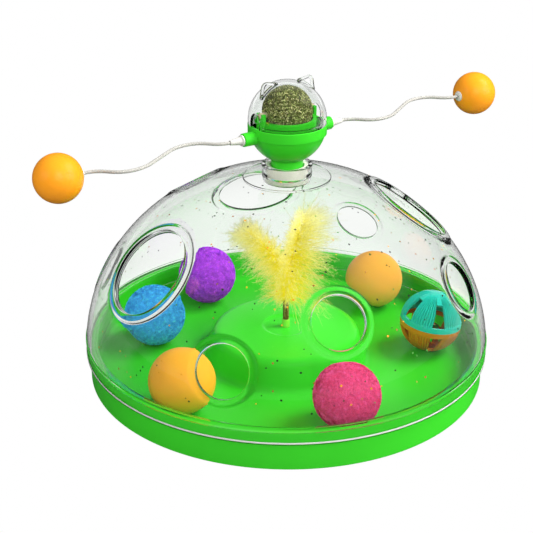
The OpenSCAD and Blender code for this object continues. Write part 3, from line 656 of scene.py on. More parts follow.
class TOY_OT_dome(bpy.types.Operator):
    """Clear dome with rolled paw holes, stepped lip and bearing cup, and the flecks on it"""

    bl_idname = "toy.dome"
    bl_label = "Dome"

    def execute(self, context):
        s = sizes()
        wall = s.dome_wall
        bead_h = 10.0
        few = circle(96)
        t_low = math.acos(bead_h / s.dome_h)
        t_top = math.asin((s.cup_r - 0.3) / s.dome_r)
        loops = [flat_map(t_top, few)]
        rings = []
        for az, el, r in PAW_HOLES:
            turn = circle(120 if r > LARGE_HOLE else 84)
            loops.append(dome_flat(hole_circle(az, el, np.full(len(turn), r + s.rim_w), turn)))
            rings.append((az, el, r, turn))
        # The step of the raised disc round the cup gets its own circles
        disc_r, disc_rise, disc_run = 27.05, 0.4, 0.3
        disc = [flat_map(math.asin((disc_r - q) / s.dome_r), few) for q in (disc_run, 0.2, 0.1, 0.0)]
        flat, tris = fill_between(flat_map(t_low, circle(300)), loops, 0.03, disc)
        t, az = from_flat(flat)
        step = np.clip((disc_r - s.dome_r * np.sin(t)) / disc_run, 0, 1)
        step = step * step * (3 - 2 * step) * disc_rise
        parts = Parts()
        parts.add(dome_point(t, az, step), [tris])
        parts.add(dome_point(t, az, -wall - step), [tris[:, ::-1]])
        # Rolled rims: outline of (distance from the hole's axis, height over the dome), a soft step and a round edge
        way = np.linspace(0, 1, 9)
        for az0, el0, r, turn in rings:
            # The small holes have lower and softer rims
            up, run = (s.rim_rise, s.rim_step) if r > LARGE_HOLE else (0.55 * s.rim_rise, 1.5 * s.rim_step)
            swell = pack(s.rim_w - way * run, up * (0.5 - 0.5 * np.cos(math.pi * way)))
            nose = rounded([(r + 1.6, up, 0), (r, up, 1.4), (r, -wall - up, 1.4), (r + 1.6, -wall - up, 0)], 8)
            edge = np.concatenate([swell + (r, 0), nose, (swell * (1, -1) + (r, -wall))[::-1]])
            tt, rr = np.meshgrid(turn, edge[:, 0], indexing="ij")
            ta, aa = dome_coords(hole_circle(az0, el0, rr, tt))
            lift = np.broadcast_to(edge[:, 1], tt.shape)
            parts.add(dome_point(ta, aa, lift), [grid_faces(len(turn), len(edge), wrap_u=True)])
        # Lip: from the wall's foot down the bead, groove and skirt, over the tray's rim, and round the locating ring
        foot_out, foot_in = (dome_point(t_low, 0.0, lift) for lift in (0.0, -wall))
        # It rests closely on the tray's rim, so that no air shows between them
        touch = 0.04
        ring_r, skirt_r = s.base_r - s.base_wall + touch, s.base_r - touch
        roof = s.rim_top - touch
        lip = rounded([
            (foot_out[0], foot_out[2], 0), (s.dome_r, s.base_h + 9.6, 0.5), (s.dome_r, s.base_h + 8.2, 0.5),
            (s.dome_r - 0.9, s.base_h + 7.4, 0.4), (s.dome_r - 0.9, s.base_h + 3.0, 0.4),
            (s.dome_r, s.base_h + 2.1, 0.5), (s.dome_r, s.base_h, 0.5), (skirt_r, s.base_h, 0.3),
            (skirt_r, roof, 0.15), (ring_r, roof, 0.15), (ring_r, s.base_h - 3.0, 0.4),
            (ring_r - 2.0, s.base_h - 3.0, 0.4), (ring_r - 2.0, roof + 1.0, 0.5), (foot_in[0], foot_in[2], 0),
        ], 4)
        parts.add(*revolve(lip, 300))
        # Cup: from the top edge of the wall up over the cup's edge, down inside and back below the wall
        edge_out, edge_in = (dome_point(t_top, 0.0, lift) for lift in (disc_rise, -wall - disc_rise))
        bore, floor = 12.6, 0.8
        cup = rounded([
            (edge_out[0], edge_out[2], 0), (s.cup_r - 0.45, s.cup_top - 3.6, 0.8), (s.cup_r, s.cup_top, 0.7),
            (bore, s.cup_top, 0.8), (bore, s.cup_bottom + floor, 0.2), (4.5, s.cup_bottom + floor, 0.2),
            (4.5, s.cup_bottom, 0.3), (s.cup_r - 1.5, s.cup_bottom, 1.2), (edge_in[0], edge_in[2], 0),
        ], 5)
        parts.add(*revolve(cup, 96))
        piece("dome", *parts.all(), "clear", "dome", "clear_plastic", ("dome_shell",), sharp=40)
        # A pale opaque band round the lip's ground edge is a painted highlight: it stands for the bright line that
        # the clear edge shows by reflection and refraction.
        low, high = s.base_h + 0.9, s.base_h + 1.8
        edge = rounded([(s.dome_r - 0.5, low, 0), (s.dome_r + 0.04, low, 0.3), (s.dome_r + 0.04, high, 0.3),
                        (s.dome_r - 0.5, high, 0), (s.dome_r - 0.5, low, 0)], 4)
        piece("dome_lip_highlight_paint", *revolve(edge, 300), "lip_edge", "dome", "clear_plastic")
        self.flecks()
        low, high = s.cup_bottom + floor + 0.05, s.cup_top - 0.8
        bush = rounded([(4.1, low, 0.2), (bore - 0.05, low, 0.2), (bore - 0.05, high, 0.3), (10.4, high, 0.3),
                        (10.4, s.cup_top - 3.4, 0.1), (4.1, s.cup_top - 3.4, 0.2), (4.1, low, 0)], 4)
        piece("bush", *revolve(bush, 96), "cream", "dome", "cream_plastic", ("bearing_bush",))
        return {"FINISHED"}

    def flecks(self):
        """Small flat flecks on the outside: P(i, k) = c_i + r_i (cos k u_i + sin k v_i), away from the paw holes."""
        s = sizes()
        sides = 7
        rng = np.random.default_rng(11)
        count = detail().flecks
        t = np.arccos(rng.uniform(0.16, 0.985, count * 2))
        az = rng.uniform(0, TAU, count * 2)
        p = dome_point(t, az, np.full(len(t), 0.07))
        free = np.ones(len(t), dtype=bool)
        for a, e, r in PAW_HOLES:
            rim = hole_circle(a, e, np.full(48, r + s.rim_w + 1.0), circle(48))
            free &= ~inside(dome_flat(rim), dome_flat(p))
        t, az, p = t[free][:count], az[free][:count], p[free][:count]
        n = dome_point(t, az, 1.0) - dome_point(t, az, 0.0)
        u = unit(np.cross(n, UP))
        v = np.cross(n, u)
        r = rng.uniform(0.38, 0.68, len(t))[:, None, None]
        k = circle(sides)[None, :, None]
        long = rng.uniform(0.7, 1.3, len(t))[:, None, None]
        pts = p[:, None] + r * (np.cos(k) * u[:, None] * long + np.sin(k) * v[:, None])
        mid = p + n * 0.03
        verts = np.concatenate([pts.reshape(-1, 3), mid])
        i = np.repeat(np.arange(len(t)), sides)
        j = np.tile(np.arange(sides), len(t))
        tris = pack(i * sides + j, i * sides + (j + 1) % sides, len(t) * sides + i)
        palette = colors((30, 30, 30), (40, 70, 34), (214, 150, 40), (150, 96, 50), (72, 140, 58))
        pick = palette[rng.choice(len(palette), len(t), p=[0.34, 0.14, 0.24, 0.14, 0.14])]
        tint = np.concatenate([np.repeat(pick, sides, axis=0), pick])
        piece("dome_flecks", verts, [tris], "fleck", "dome", "clear_plastic", join=False, tint=tint)


# Windmill

class TOY_OT_windmill(bpy.types.Operator):
    """Green bowl with its neck, spindle and arm sockets, and the small parts of its bearing"""

    bl_idname = "toy.windmill"
    bl_label = "Windmill"

    def execute(self, context):
        s = sizes()
        neck = s.cup_top - 2.9
        foot = neck + 6.4
        round_h = 15.8
        band = foot + round_h
        # The round part is a ball through (band_r, band) and (foot_r, foot)
        band_r, foot_r = 23.2, 11.0
        rise = (band_r ** 2 - foot_r ** 2 - round_h ** 2) / (2 * round_h)
        ball_z, ball_r = band + rise, math.hypot(band_r, rise)
        in_r, seat_r = ball_r - 2.2, 17.8
        floor = ball_z - math.sqrt(in_r ** 2 - seat_r ** 2)
        zs = np.linspace(foot + 0.15, band - 0.1, 20)
        outer = [(math.sqrt((ball_r - 0.3) ** 2 - (ball_z - z) ** 2), z, 0) for z in zs]
        zi = np.linspace(band - 0.1, floor + 0.3, 9)
        inner = [(math.sqrt(in_r ** 2 - (ball_z - z) ** 2), z, 0) for z in zi]
        outline = rounded(
            [(0, s.cup_bottom - 0.3, 0), (4.0, s.cup_bottom - 0.3, 0.4), (4.0, neck, 0.1), (9.5, neck, 0.4),
             (9.9, foot, 0.6)] + outer
            + [(s.bowl_r - 0.05, band, 0.15), (s.bowl_r, s.bowl_rim, 0.7), (21.6, s.bowl_rim, 0.6),
               (21.6, band, 0.2)] + inner
            + [(seat_r, floor, 0.2), (13.0, floor, 0.4), (13.0, foot + 4.2, 0.6), (0, foot + 4.2, 0)], 5)
        parts = Parts()
        parts.add(*revolve(outline, 160))
        tip = 31.5
        socket = rounded([(4.3, 21.2, 0), (4.1, 25.0, 1.0), (4.0, tip, 0.6), (2.95, tip, 0.4), (2.95, tip - 7.0, 0.3),
                          (0, tip - 7.0, 0)], 5)
        for side in (-1, 1):
            v, f = revolve(socket, 64)
            parts.add(along_arm(v, side), f)
        piece("windmill_bowl", *parts.all(), "green", "windmill", "green_plastic", ("rotor_bowl",))
        for node, look in (("catnip_cradle", "green"), ("thrust_washer", "cream"), ("retaining_washer", "steel"),
                           ("spindle_screw", "steel")):
            paint(node, look)
        return {"FINISHED"}


# Arms

def wire_course():
    """Level course of a wire, outwards and sideways: straight legs and arcs
    (x + R (sin h - sin h0), y - R (cos h - cos h0))."""
    s = sizes()
    depth, end_slope, end_r, mid_slope, mid_r = 10.8, 44.0, 15.0, 34.0, 24.0
    es, ms = math.radians(end_slope), math.radians(mid_slope)
    end_leg = (depth - 2 * end_r * (1 - math.cos(es))) / math.sin(es)
    mid_leg = (2 * depth - 2 * mid_r * (1 - math.cos(ms))) / math.sin(ms)
    x, y, h = 36.4, 0.0, 0.0
    pts = [(x, y)]

    def leg(length, steps=6):
        nonlocal x, y
        for k in range(1, steps + 1):
            pts.append((x + length * k / steps * math.cos(h), y + length * k / steps * math.sin(h)))
        x, y = pts[-1]

    def bend(angle, radius, steps=14):
        nonlocal x, y, h
        r = math.copysign(radius, angle)
        for k in range(1, steps + 1):
            a = h + angle * k / steps
            pts.append((x + r * (math.sin(a) - math.sin(h)), y - r * (math.cos(a) - math.cos(h))))
        h += angle
        x, y = pts[-1]

    leg(3.1)
    bend(-es, end_r)
    leg(end_leg)
    bend(es, end_r)
    bend(ms, mid_r)
    leg(mid_leg)
    bend(-ms, mid_r)
    bend(-es, end_r)
    leg(end_leg)
    bend(es, end_r)
    leg(s.arm_reach - s.arm_ball_r + 2.0 - x)
    return np.array(pts)


class TOY_OT_arms(bpy.types.Operator):
    """Boots, bent wires, grommets and end balls"""

    bl_idname = "toy.arms"
    bl_label = "Arms"

    def execute(self, context):
        s = sizes()
        course = wire_course()
        face = s.arm_reach - s.arm_ball_r
        sides = 20
        caps = pack(np.zeros(sides - 2, int), np.arange(1, sides - 1), np.arange(2, sides))
        path = pack(course[:, 1], np.zeros(len(course)), course[:, 0])
        boot = rounded([
            (0, 24.5, 0), (2.9, 24.5, 0.3), (2.9, 31.5, 0.05), (3.3, 31.5, 0.25), (3.3, 32.7, 0.3), (2.6, 32.8, 0.3),
            (2.3, 34.3, 0.8), (1.45, 40.2, 0.12), (1.14, 40.2, 0.1), (1.14, 36.5, 0.1), (0, 36.5, 0),
        ], 5)
        grommet = rounded([(1.05, face + 1.2, 0), (1.05, face - 0.8, 0.3), (2.6, face - 0.75, 0.7),
                           (3.4, face + 0.35, 0.4), (3.3, face + 1.0, 0)], 5)
        seam = lambda d: 0.05 * np.exp(-(d[..., 2] * s.arm_ball_r / 0.25) ** 2)
        for side, word in ((-1, "left"), (1, "right")):
            arm = "arm_" + word
            v, f = revolve(boot, 56)
            # The boot is given two points of its soft end as bend; it stays where it is made and rides on no body
            bends = along_arm(np.array([(0, 0, 33.4), (0, 0, 40.0)]), side) * MM
            piece("arm_boot_" + word + "_skin", along_arm(v, side), f, "white", "windmill", "white_rubber",
                  ("arm_boot_" + word,), bend=(arm, bends[0], bends[1]))
            v, f = tube(along_arm(path, side), 1.0, sides)
            piece("wire_" + word, v, f + [caps], "wire", arm, "coated_wire", ("arm_wire_" + word,))
            v, f = revolve(grommet, 48)
            piece("grommet_" + word, along_arm(v, side), f, "white", arm, "white_rubber", ("ball_grommet_" + word,))
            v, f = sphere_grid(s.arm_ball_r, 112, 97, seam)
            piece("end_ball_" + word, along_arm(v + s.arm_reach * UP, side), f, "amber", arm, "amber_plastic",
                  ("arm_ball_" + word,))
        return {"FINISHED"}


# Catnip

class TOY_OT_catnip(bpy.types.Operator):
    """Ball of pressed catnip leaves on its axle"""

    bl_idname = "toy.catnip"
    bl_label = "Catnip"

    def execute(self, context):
        s = sizes()
        rng = np.random.default_rng(5)
        centre = np.array([0, 0, s.catnip_z])
        body = lambda d: 0.55 - 0.3 * waves(d, 40, 9.0, 3) - 0.15 * waves(d, 40, 26.0, 4)
        v, f = sphere_grid(s.catnip_r, 128, 65, body)
        base = colors((96, 104, 54))
        shade = (0.5 + 0.5 * (waves(v, 30, 2.2, 8) * 0.5 + 0.5))[:, None]
        parts = Parts()
        parts.add(v + centre, f, base * shade)
        # Leaf flakes: curled strips P(a, b) = a length u + b width w + d (lift - 0.18 a^2 + 0.5 tilt a)
        count = detail().flakes
        d = unit(spread(count) + rng.normal(scale=0.02, size=(count, 3)))
        u = unit(np.cross(d, rng.normal(size=d.shape)))
        w = np.cross(d, u)
        length = rng.uniform(0.26, 0.7, count)[:, None]
        width = rng.uniform(0.1, 0.26, count)[:, None]
        lift = (s.catnip_r - 0.35 + rng.uniform(-0.15, 0.25, count))[:, None]
        tilt = rng.normal(scale=0.3, size=count)[:, None]
        rows = []
        for a in (-1.0, 0.0, 1.0):
            for b in (-1.0, 1.0):
                narrow = 1.0 if a == 0 else 0.45
                up = lift - 0.18 * a * a + tilt * a * 0.5
                rows.append(d * up + u * (a * length) + w * (b * width * narrow))
        flakes = np.stack(rows, axis=1)
        quads = np.array([[0, 1, 3, 2], [2, 3, 5, 4]])
        faces = (np.arange(count)[:, None, None] * len(rows) + quads[None]).reshape(-1, 4)
        palette = colors((136, 146, 84), (108, 120, 60), (162, 164, 104), (74, 84, 40), (206, 202, 148),
                         (120, 108, 62))
        pick = palette[rng.choice(len(palette), count, p=[0.26, 0.2, 0.18, 0.18, 0.1, 0.08])]
        bright = (1.3 + 1.5 * waves(d, 60, 36.0, 9) + rng.normal(scale=0.2, size=count)).clip(0.22, 2.2)
        parts.add(flakes.reshape(-1, 3) + centre, [faces], np.repeat(pick * bright[:, None], len(rows), axis=0))
        piece("catnip_leaves", *parts.all(), "leaf", "catnip", "pressed_catnip", ("catnip_ball",),
              join=False, sharp=180, tint=parts.tint())
        paint("catnip_axle", "beige")
        return {"FINISHED"}


# Cover

class TOY_OT_cover(bpy.types.Operator):
    """Clear cover with its ears and socket notches"""

    bl_idname = "toy.cover"
    bl_label = "Cover"

    def execute(self, context):
        s = sizes()
        wall = 1.6
        arm = math.radians(s.arm_angle)
        t_edge = math.acos((s.bowl_rim - s.cover_z) / s.cover_r)
        # Edge of the flat map: the bowl's rim with an arch over each socket
        half, high = 4.7, 9.0
        bow = np.linspace(0, math.pi, 25)[1:-1]
        rise = np.linspace(0, high - half, 7)
        arch = np.concatenate([
            pack(np.full(7, -half), rise),
            pack(-half * np.cos(bow), high - half + half * np.sin(bow)),
            pack(np.full(6, half), np.linspace(high - half, 0, 7)[:-1])])
        arch_t = np.arccos((s.bowl_rim + arch[:, 1] - s.cover_z) / s.cover_r)
        arch_a = np.arcsin(np.clip(arch[:, 0] / (s.cover_r * np.sin(arch_t)), -1, 1))
        span = math.asin(half / (s.cover_r * math.sin(t_edge)))
        edge = []
        for start in (arm, arm + math.pi):
            a = np.linspace(start + span, start + math.pi - span, 70, endpoint=False)
            edge += [flat_map(t_edge, a), flat_map(arch_t, start + math.pi + arch_a)]
        flat, tris = fill_between(np.concatenate(edge), [], 0.07)
        t, az = from_flat(flat)
        d = pack(np.sin(t) * np.cos(az), np.sin(t) * np.sin(az), np.cos(t))
        n = len(flat)
        parts = Parts()
        both = np.concatenate([d * s.cover_r, d * (s.cover_r - wall)]) + s.cover_z * UP
        parts.add(both, [tris, tris[:, ::-1] + n, edge_walls(open_edges(tris), n)])
        # Ring in the bowl with its shoulder inside the wall, between the notches
        low, high = s.bowl_rim + 0.02, s.bowl_rim + 1.2
        wall_r = [math.sqrt((s.cover_r - wall) ** 2 - (z - s.cover_z) ** 2) - 0.02 for z in (low, high)]
        ring = rounded([(wall_r[0], low, 0), (21.3, low, 0.2), (21.3, low - 3.5, 0.4), (19.7, low - 3.5, 0.4),
                        (19.7, high, 0.4), (wall_r[1], high, 0), (wall_r[0], low, 0)], 4)
        m, turns, notch = len(ring), 80, 0.24
        caps = np.array([[row * m, row * m + i, row * m + i + 1] for row in (0, turns - 1) for i in range(1, m - 1)])
        for k in (0, 1):
            p = sweep(ring, np.linspace(arm + k * math.pi + notch, arm + (k + 1) * math.pi - notch, turns))
            parts.add(p.reshape(-1, 3), [grid_faces(turns, m), caps])
        # Ears: an oval section carried round a triangle with round corners, in the plane of the arms
        out = np.array([math.cos(arm), math.sin(arm), 0.0])
        normal = np.cross(out, UP)
        e = math.radians(55)
        q = np.linspace(-0.24, 0.24, 9)
        foot = [(x, y, 0) for x, y in (s.cover_r + 0.15) * pack(np.sin(q), np.cos(q))]
        corners = [(6.6, 22.75, 1.3), (0.0, s.cover_r + 5.9, 3.2), (-6.6, 22.75, 1.3)]
        line = rounded(foot[4:] + corners + foot[:5], 6)[:-1]
        sides = 14
        b = circle(sides)[None, :, None]
        for side in (-1, 1):
            w = out * side * math.cos(e) + UP * math.sin(e)
            u = -out * side * math.sin(e) + UP * math.cos(e)
            path = line[:, :1] * u + line[:, 1:] * w + s.cover_z * UP
            across = np.cross(unit(np.roll(path, -1, 0) - np.roll(path, 1, 0)), normal)
            p = path[:, None] + 0.95 * np.cos(b) * across[:, None] + 1.4 * np.sin(b) * normal
            parts.add(p.reshape(-1, 3), [grid_faces(len(path), sides, wrap_u=True, wrap_v=True)])
        piece("ear_cover", *parts.all(), "clear_cover", "cover", "clear_plastic", ("cat_ear_cover",), sharp=50)
        return {"FINISHED"}


# Feather

def curve_through(points, count):
    """Smooth curve through points by cubic blending of neighbours."""
    p = np.array(points, dtype=float)
    p = np.concatenate([[2 * p[0] - p[1]], p, [2 * p[-1] - p[-2]]])
    out = []
    for s in np.linspace(0, len(p) - 3 - 1e-9, count):
        i = int(s)
        t = s - i
        a, b, c, d = p[i:i + 4]
        square, cube = 2 * a - 5 * b + 4 * c - d, 3 * b - a - 3 * c + d
        out.append(0.5 * (2 * b + (c - a) * t + square * t * t + cube * t ** 3))
    return np.array(out)


def plume(seed, spine, reach, lean, droop):
    """Barbs on a spine: P(u) = root + L (u q + u^2 g), with q between the spine and the side, g the droop, and hairs
    on each barb.

    reach holds the lengths on the left and on the right side along the spine."""
    rng = np.random.default_rng(seed)
    count = detail().barbs
    samples = 80
    line = curve_through(spine, samples)
    tangent = unit(np.gradient(line, axis=0))
    place = np.sort(rng.uniform(0.02, 1.0, count))
    at = place * (samples - 1)
    i = np.minimum(at.astype(int), samples - 2)
    f = (at - i)[:, None]
    root = line[i] * (1 - f) + line[i + 1] * f
    along = tangent[i]
    left = unit(np.cross(along, np.array([0.0, 1.0, 0.0])))
    deep = np.cross(along, left)
    side = rng.choice([-1.0, 1.0], count)
    turn = rng.normal(scale=0.7, size=count)
    out = left * (side * np.cos(turn))[:, None] + deep * np.sin(turn)[:, None]
    open_angle = np.radians(np.interp(place, [0, 0.5, 1], lean) + rng.normal(scale=11, size=count))[:, None]
    q = along * np.cos(open_angle) + out * np.sin(open_angle)
    knots = [0, 0.15, 0.5, 0.8, 1]
    length = np.where(side > 0, np.interp(place, knots, reach[0]), np.interp(place, knots, reach[1]))
    length = (length * rng.uniform(0.62, 1.08, count))[:, None]
    sag = np.interp(place, [0, 0.5, 1], droop)[:, None]
    g = -UP * sag + rng.normal(scale=0.12, size=(count, 3))
    steps = 11
    u = np.linspace(0, 1, steps)[None, :, None]
    wave = rng.normal(scale=0.06, size=(count, 1, 3)) * np.sin(u * 7 + rng.uniform(0, TAU, (count, 1, 1)))
    path = root[:, None] + length[:, None] * (u * q[:, None] + u * u * g[:, None] + wave * u)
    # The flat side of a barb turns outwards and up
    facing = 0.8 * out + 0.6 * UP + rng.normal(scale=0.3, size=out.shape)
    flat = unit(np.cross(q, facing))
    width = (0.22 * (1 - 0.8 * np.linspace(0, 1, steps)))[None, :, None]
    verts = np.stack([path - flat[:, None] * width, path + flat[:, None] * width], axis=2)
    k = np.arange(count)[:, None] * steps * 2 + np.arange(steps - 1)[None] * 2
    quads = pack(k, k + 1, k + 3, k + 2).reshape(-1, 4)
    warm, pale = colors((212, 203, 0), (236, 235, 196))
    # Paler towards the tips of the barbs and of the plume
    high = 0.75 * place ** 2.4
    outer = np.linspace(-0.4, 0.6, steps)[None] * rng.uniform(0.3, 1.0, count)[:, None]
    mix = np.clip(high[:, None] + outer, 0, 1)[:, :, None, None]
    tint = np.broadcast_to(warm * (1 - mix) + pale * mix, verts.shape[:3] + (3,))
    parts = Parts()
    parts.add(verts.reshape(-1, 3), [quads], tint.reshape(-1, 3))
    # Hairs along each barb, as narrow triangles
    hairs = 34
    b = np.repeat(np.arange(count), hairs)
    where = rng.uniform(0.05, 0.99, count * hairs) ** 0.8 * (steps - 1)
    j = np.minimum(where.astype(int), steps - 2)
    f = (where - j)[:, None]
    foot = path[b, j] * (1 - f) + path[b, j + 1] * f
    ahead = path[b, j + 1] - path[b, j]
    ahead /= np.linalg.norm(ahead, axis=1, keepdims=True) + 1e-9
    spin = rng.normal(size=foot.shape)
    across = unit(np.cross(ahead, spin))
    hair = rng.uniform(0.8, 2.6, len(foot))[:, None]
    tip = foot + hair * (0.75 * ahead + 0.66 * across)
    thick = np.cross(tip - foot, facing[b] + rng.normal(scale=0.3, size=foot.shape))
    thick *= 0.06 / np.linalg.norm(thick, axis=1, keepdims=True)
    tri = np.stack([foot - thick, foot + thick, tip], axis=1)
    blend = np.clip(high[b] - 0.4 + where / (steps - 1), 0, 1)[:, None, None]
    color = np.broadcast_to(warm * (1 - blend) + pale * blend, tri.shape)
    faces = np.arange(len(foot) * 3).reshape(-1, 3)
    parts.add(tri.reshape(-1, 3), [faces], color.reshape(-1, 3))
    v, fc = tube(line + np.array([1e-4, 0, 0]), np.linspace(0.5, 0.15, samples), 8)
    parts.add(v, fc, colors((206, 184, 50)))
    return parts


class TOY_OT_feather(bpy.types.Operator):
    """Feather socket, tube and two downy plumes"""

    bl_idname = "toy.feather"
    bl_label = "Feather"

    def execute(self, context):
        s = sizes()
        dish = s.mound_top - 1.2
        top = dish + 5.4
        seat = top - 4.6
        peg = rounded([(0, dish - 2.2, 0), (1.8, dish - 2.2, 0.2), (1.8, dish, 0.1), (2.6, dish, 0.1),
                       (2.6, top, 0.5), (1.55, top, 0.2), (1.55, seat, 0.2), (0, seat, 0)], 5)
        piece("feather_peg", *revolve(peg, 48), "socket", "base", "socket_plastic", ("feather_socket",))
        tall = top + 15.0
        stem = rounded([(0, seat, 0), (1.5, seat, 0.2), (1.5, top, 0.05), (1.95, top, 0.3), (1.9, tall, 0.6),
                        (0, tall, 0)], 5)
        v, f = revolve(stem, 48)
        ridge = 1 + 0.05 * np.cos(9 * np.arctan2(v[:, 1], v[:, 0])) * (v[:, 2] > top + 0.5)
        v[:, :2] *= ridge[:, None]
        piece("feather_stem", v, f, "tube", "feather", "tube_plastic", ("feather_tube",), sharp=60)
        for word, seed, spine, reach, lean, droop in (
            ("left", 21, [(-0.3, 0, -3), (-0.3, 0, 10), (-1.2, 0.3, 20), (-7.1, 0.6, 28), (-15.2, 1, 36),
                          (-21.5, 1, 42), (-25.0, 1, 44.5)],
             ([18, 20, 18, 15, 11], [8, 10, 12, 13, 10]), [66, 58, 42], [0.45, 0.25, 0.05]),
            ("right", 22, [(0.3, 0, -3), (0.6, 0, 10), (1.8, -0.3, 20), (4.2, -0.6, 29.5), (6.6, -0.8, 40),
                           (8.9, -1, 49), (10.4, -1, 55)],
             ([8, 10, 11, 10, 8], [24, 28, 28, 25, 16]), [76, 58, 40], [0.75, 0.35, 0.1]),
        ):
            parts = plume(seed, [(x, y, tall + z) for x, y, z in spine], reach, lean, droop)
            down = piece("plume_" + word + "_down", *parts.all(), "down", "feather", "feather_down",
                         ("plume_" + word,), join=False, sharp=180, tint=parts.tint())
            down.visible_shadow = False
        return {"FINISHED"}


# Loose balls

def plush(name, node, body, slot, color, seed):
    """Short pile on a ball: each fibre lies over from its root r0 d to r1 d + L t, with t along the surface, and
    tufts rise and fall by smooth noise."""
    s = sizes()
    rng = np.random.default_rng(seed)
    centre = box_middle(node)
    color = np.array(color)
    core = s.ball_r - 0.6
    v, f = sphere_grid(core, 96, 49, lambda d: -0.1 * waves(d, 40, 14.0, seed))
    parts = Parts()
    # The core under the pile is painted darker than the fibres: painted shade down between them
    parts.add(v + centre, f, color * 0.85)
    count = detail().fibres
    d = unit(spread(count) + rng.normal(scale=0.006, size=(count, 3)))
    tuft = waves(d, 80, 30.0, seed + 1)[:, None]
    fine = waves(d, 80, 60.0, seed + 5)[:, None]
    swirl = np.stack([waves(d, 40, 24.0, seed + k) for k in (2, 3, 4)], axis=-1)
    lie = unit(np.cross(d, swirl + rng.normal(scale=0.35, size=d.shape)))
    across = np.cross(d, lie)
    run = rng.uniform(0.6, 1.15, (count, 1))
    high = s.ball_r - 0.12 + 0.14 * tuft + 0.12 * fine + rng.uniform(-0.15, 0.1, (count, 1))
    high = np.minimum(high, s.ball_r + 0.1)
    root = d * (core - 0.1)
    mid = d * (core + 0.7 * (high - core)) + lie * run * 0.45
    tip = d * high + lie * run
    wide, narrow = across * 0.17, across * 0.15
    verts = np.stack([root - wide, root + wide, mid - narrow, mid + narrow, tip], axis=1)
    k = np.arange(count)[:, None] * verts.shape[1]
    quads = k + np.array([[0, 1, 3, 2]])
    tris = k + np.array([[2, 3, 4]])
    # Painted light and shade in the tint: fibres are lighter where tufts rise and darker where they dip, with some
    # random tone too; along each fibre the root is painted darker and the tip lighter
    bright = 1.0 + 0.2 * tuft + 0.26 * fine + rng.normal(scale=0.07, size=(count, 1))
    level = np.array([0.95, 0.95, 1.08, 1.08, 1.2])
    tint = np.clip(color * (bright[:, :, None] * level[None, :, None]), 0, 1)
    parts.add(verts.reshape(-1, 3) + centre, [quads, tris], tint.reshape(-1, 3))
    obj = piece(name, *parts.all(), "plush", body, slot, (node,), join=False, sharp=180, tint=parts.tint())


class TOY_OT_plush_balls(bpy.types.Operator):
    """Three plush balls"""

    bl_idname = "toy.plush_balls"
    bl_label = "Plush balls"

    def execute(self, context):
        for word, color, seed in (("purple", (0.5, 0.075, 0.9), 31), ("blue", (0.075, 0.5, 1.0), 41),
                                  ("pink", (1.0, 0.1, 0.29), 51)):
            plush("plush_" + word, "plush_ball_" + word, "ball_" + word, word + "_plush", color, seed)
        return {"FINISHED"}


class TOY_OT_plain_balls(bpy.types.Operator):
    """Two plain balls with a faint moulding seam"""

    bl_idname = "toy.plain_balls"
    bl_label = "Plain balls"

    def execute(self, context):
        s = sizes()
        for node, body, lean in (("plain_ball_front", "ball_front", 0.5), ("plain_ball_back", "ball_back", -0.7)):
            seam = lambda d: 0.045 * np.exp(-(d[..., 2] * s.plain_r / 0.3) ** 2)
            v, f = sphere_grid(s.plain_r, 128, 113, seam)
            turn = turned(1, lean) @ turned(0, lean)
            piece(node + "_skin", v @ turn.T + box_middle(node), f, "orange", body, "orange_plastic", (node,),
                  sharp=180)
        return {"FINISHED"}


def bell_half(sign):
    """Half shell P(a, e) = r (cos e cos a, cos e sin a, sin e) with r = R - rib depth on the panels, open at the
    tapered windows."""
    s = sizes()
    big, thick = s.ball_r, 2.0
    low, high = 3.4 / big, 0.82
    z = np.concatenate([np.linspace(0, low, 3)[:-1], np.linspace(low, high, 20)[:-1],
                        np.sin(np.linspace(math.asin(high), math.pi / 2, 12))])
    e = np.arcsin(np.clip(z, 0, 1))
    half = np.interp(z, [low, high], [4.5, 2.25])
    reach = np.where(z > high, math.cos(math.asin(high)), np.cos(e))
    alpha = np.arcsin(np.clip(half / (big * reach), 0, 0.9))
    cells_w, cells_p, ribs = 6, 72, 9
    pitch = TAU / s.windows
    cols = []
    for k in range(s.windows):
        middle = math.radians(2 - 90) + pitch * k
        x = np.linspace(-1, 1, cells_w + 1)[:-1]
        cols.append(middle + x[:, None] * alpha[None])
        y = np.linspace(0, 1, cells_p + 1)[:-1]
        cols.append(middle + alpha[None] + y[:, None] * (pitch - 2 * alpha[None]))
    a = np.concatenate(cols)
    nu, nv = a.shape
    cell = np.tile(np.concatenate([np.ones(cells_w, bool), np.zeros(cells_p, bool)]), s.windows)
    across = np.tile(np.concatenate([np.zeros(cells_w), np.linspace(0, 1, cells_p + 1)[:-1]]), s.windows)
    groove = 0.5 + 0.5 * np.cos(TAU * ribs * across)
    fade = np.clip((z - low) / 0.06, 0, 1) * np.clip((0.985 - z) / 0.12, 0, 1)
    depth = 0.85 * groove[:, None] * fade[None] * (~cell)[:, None]
    d = pack(np.cos(e) * np.cos(a), np.cos(e) * np.sin(a), np.broadcast_to(np.sin(e), a.shape))
    outer = d * (big - depth)[..., None]
    inner = d * (big - thick)
    i, j = np.meshgrid(np.arange(nu), np.arange(nv - 1), indexing="ij")
    open_cell = cell[:, None] & (z[:-1] >= low - 1e-9)[None] & (z[1:] <= high + 1e-9)[None]
    i, j = i[~open_cell], j[~open_cell]
    quads = pack(i * nv + j, ((i + 1) % nu) * nv + j, ((i + 1) % nu) * nv + j + 1, i * nv + j + 1)
    rim = open_edges(quads)
    rim = rim[(rim % nv != nv - 1).any(axis=1)]
    n = nu * nv
    verts = np.concatenate([outer.reshape(-1, 3), inner.reshape(-1, 3)])
    verts[:, 2] = np.where(verts[:, 2] < 1e-6, 0.03, verts[:, 2]) * sign
    return verts, [quads, quads[:, ::-1] + n, edge_walls(rim, n)]


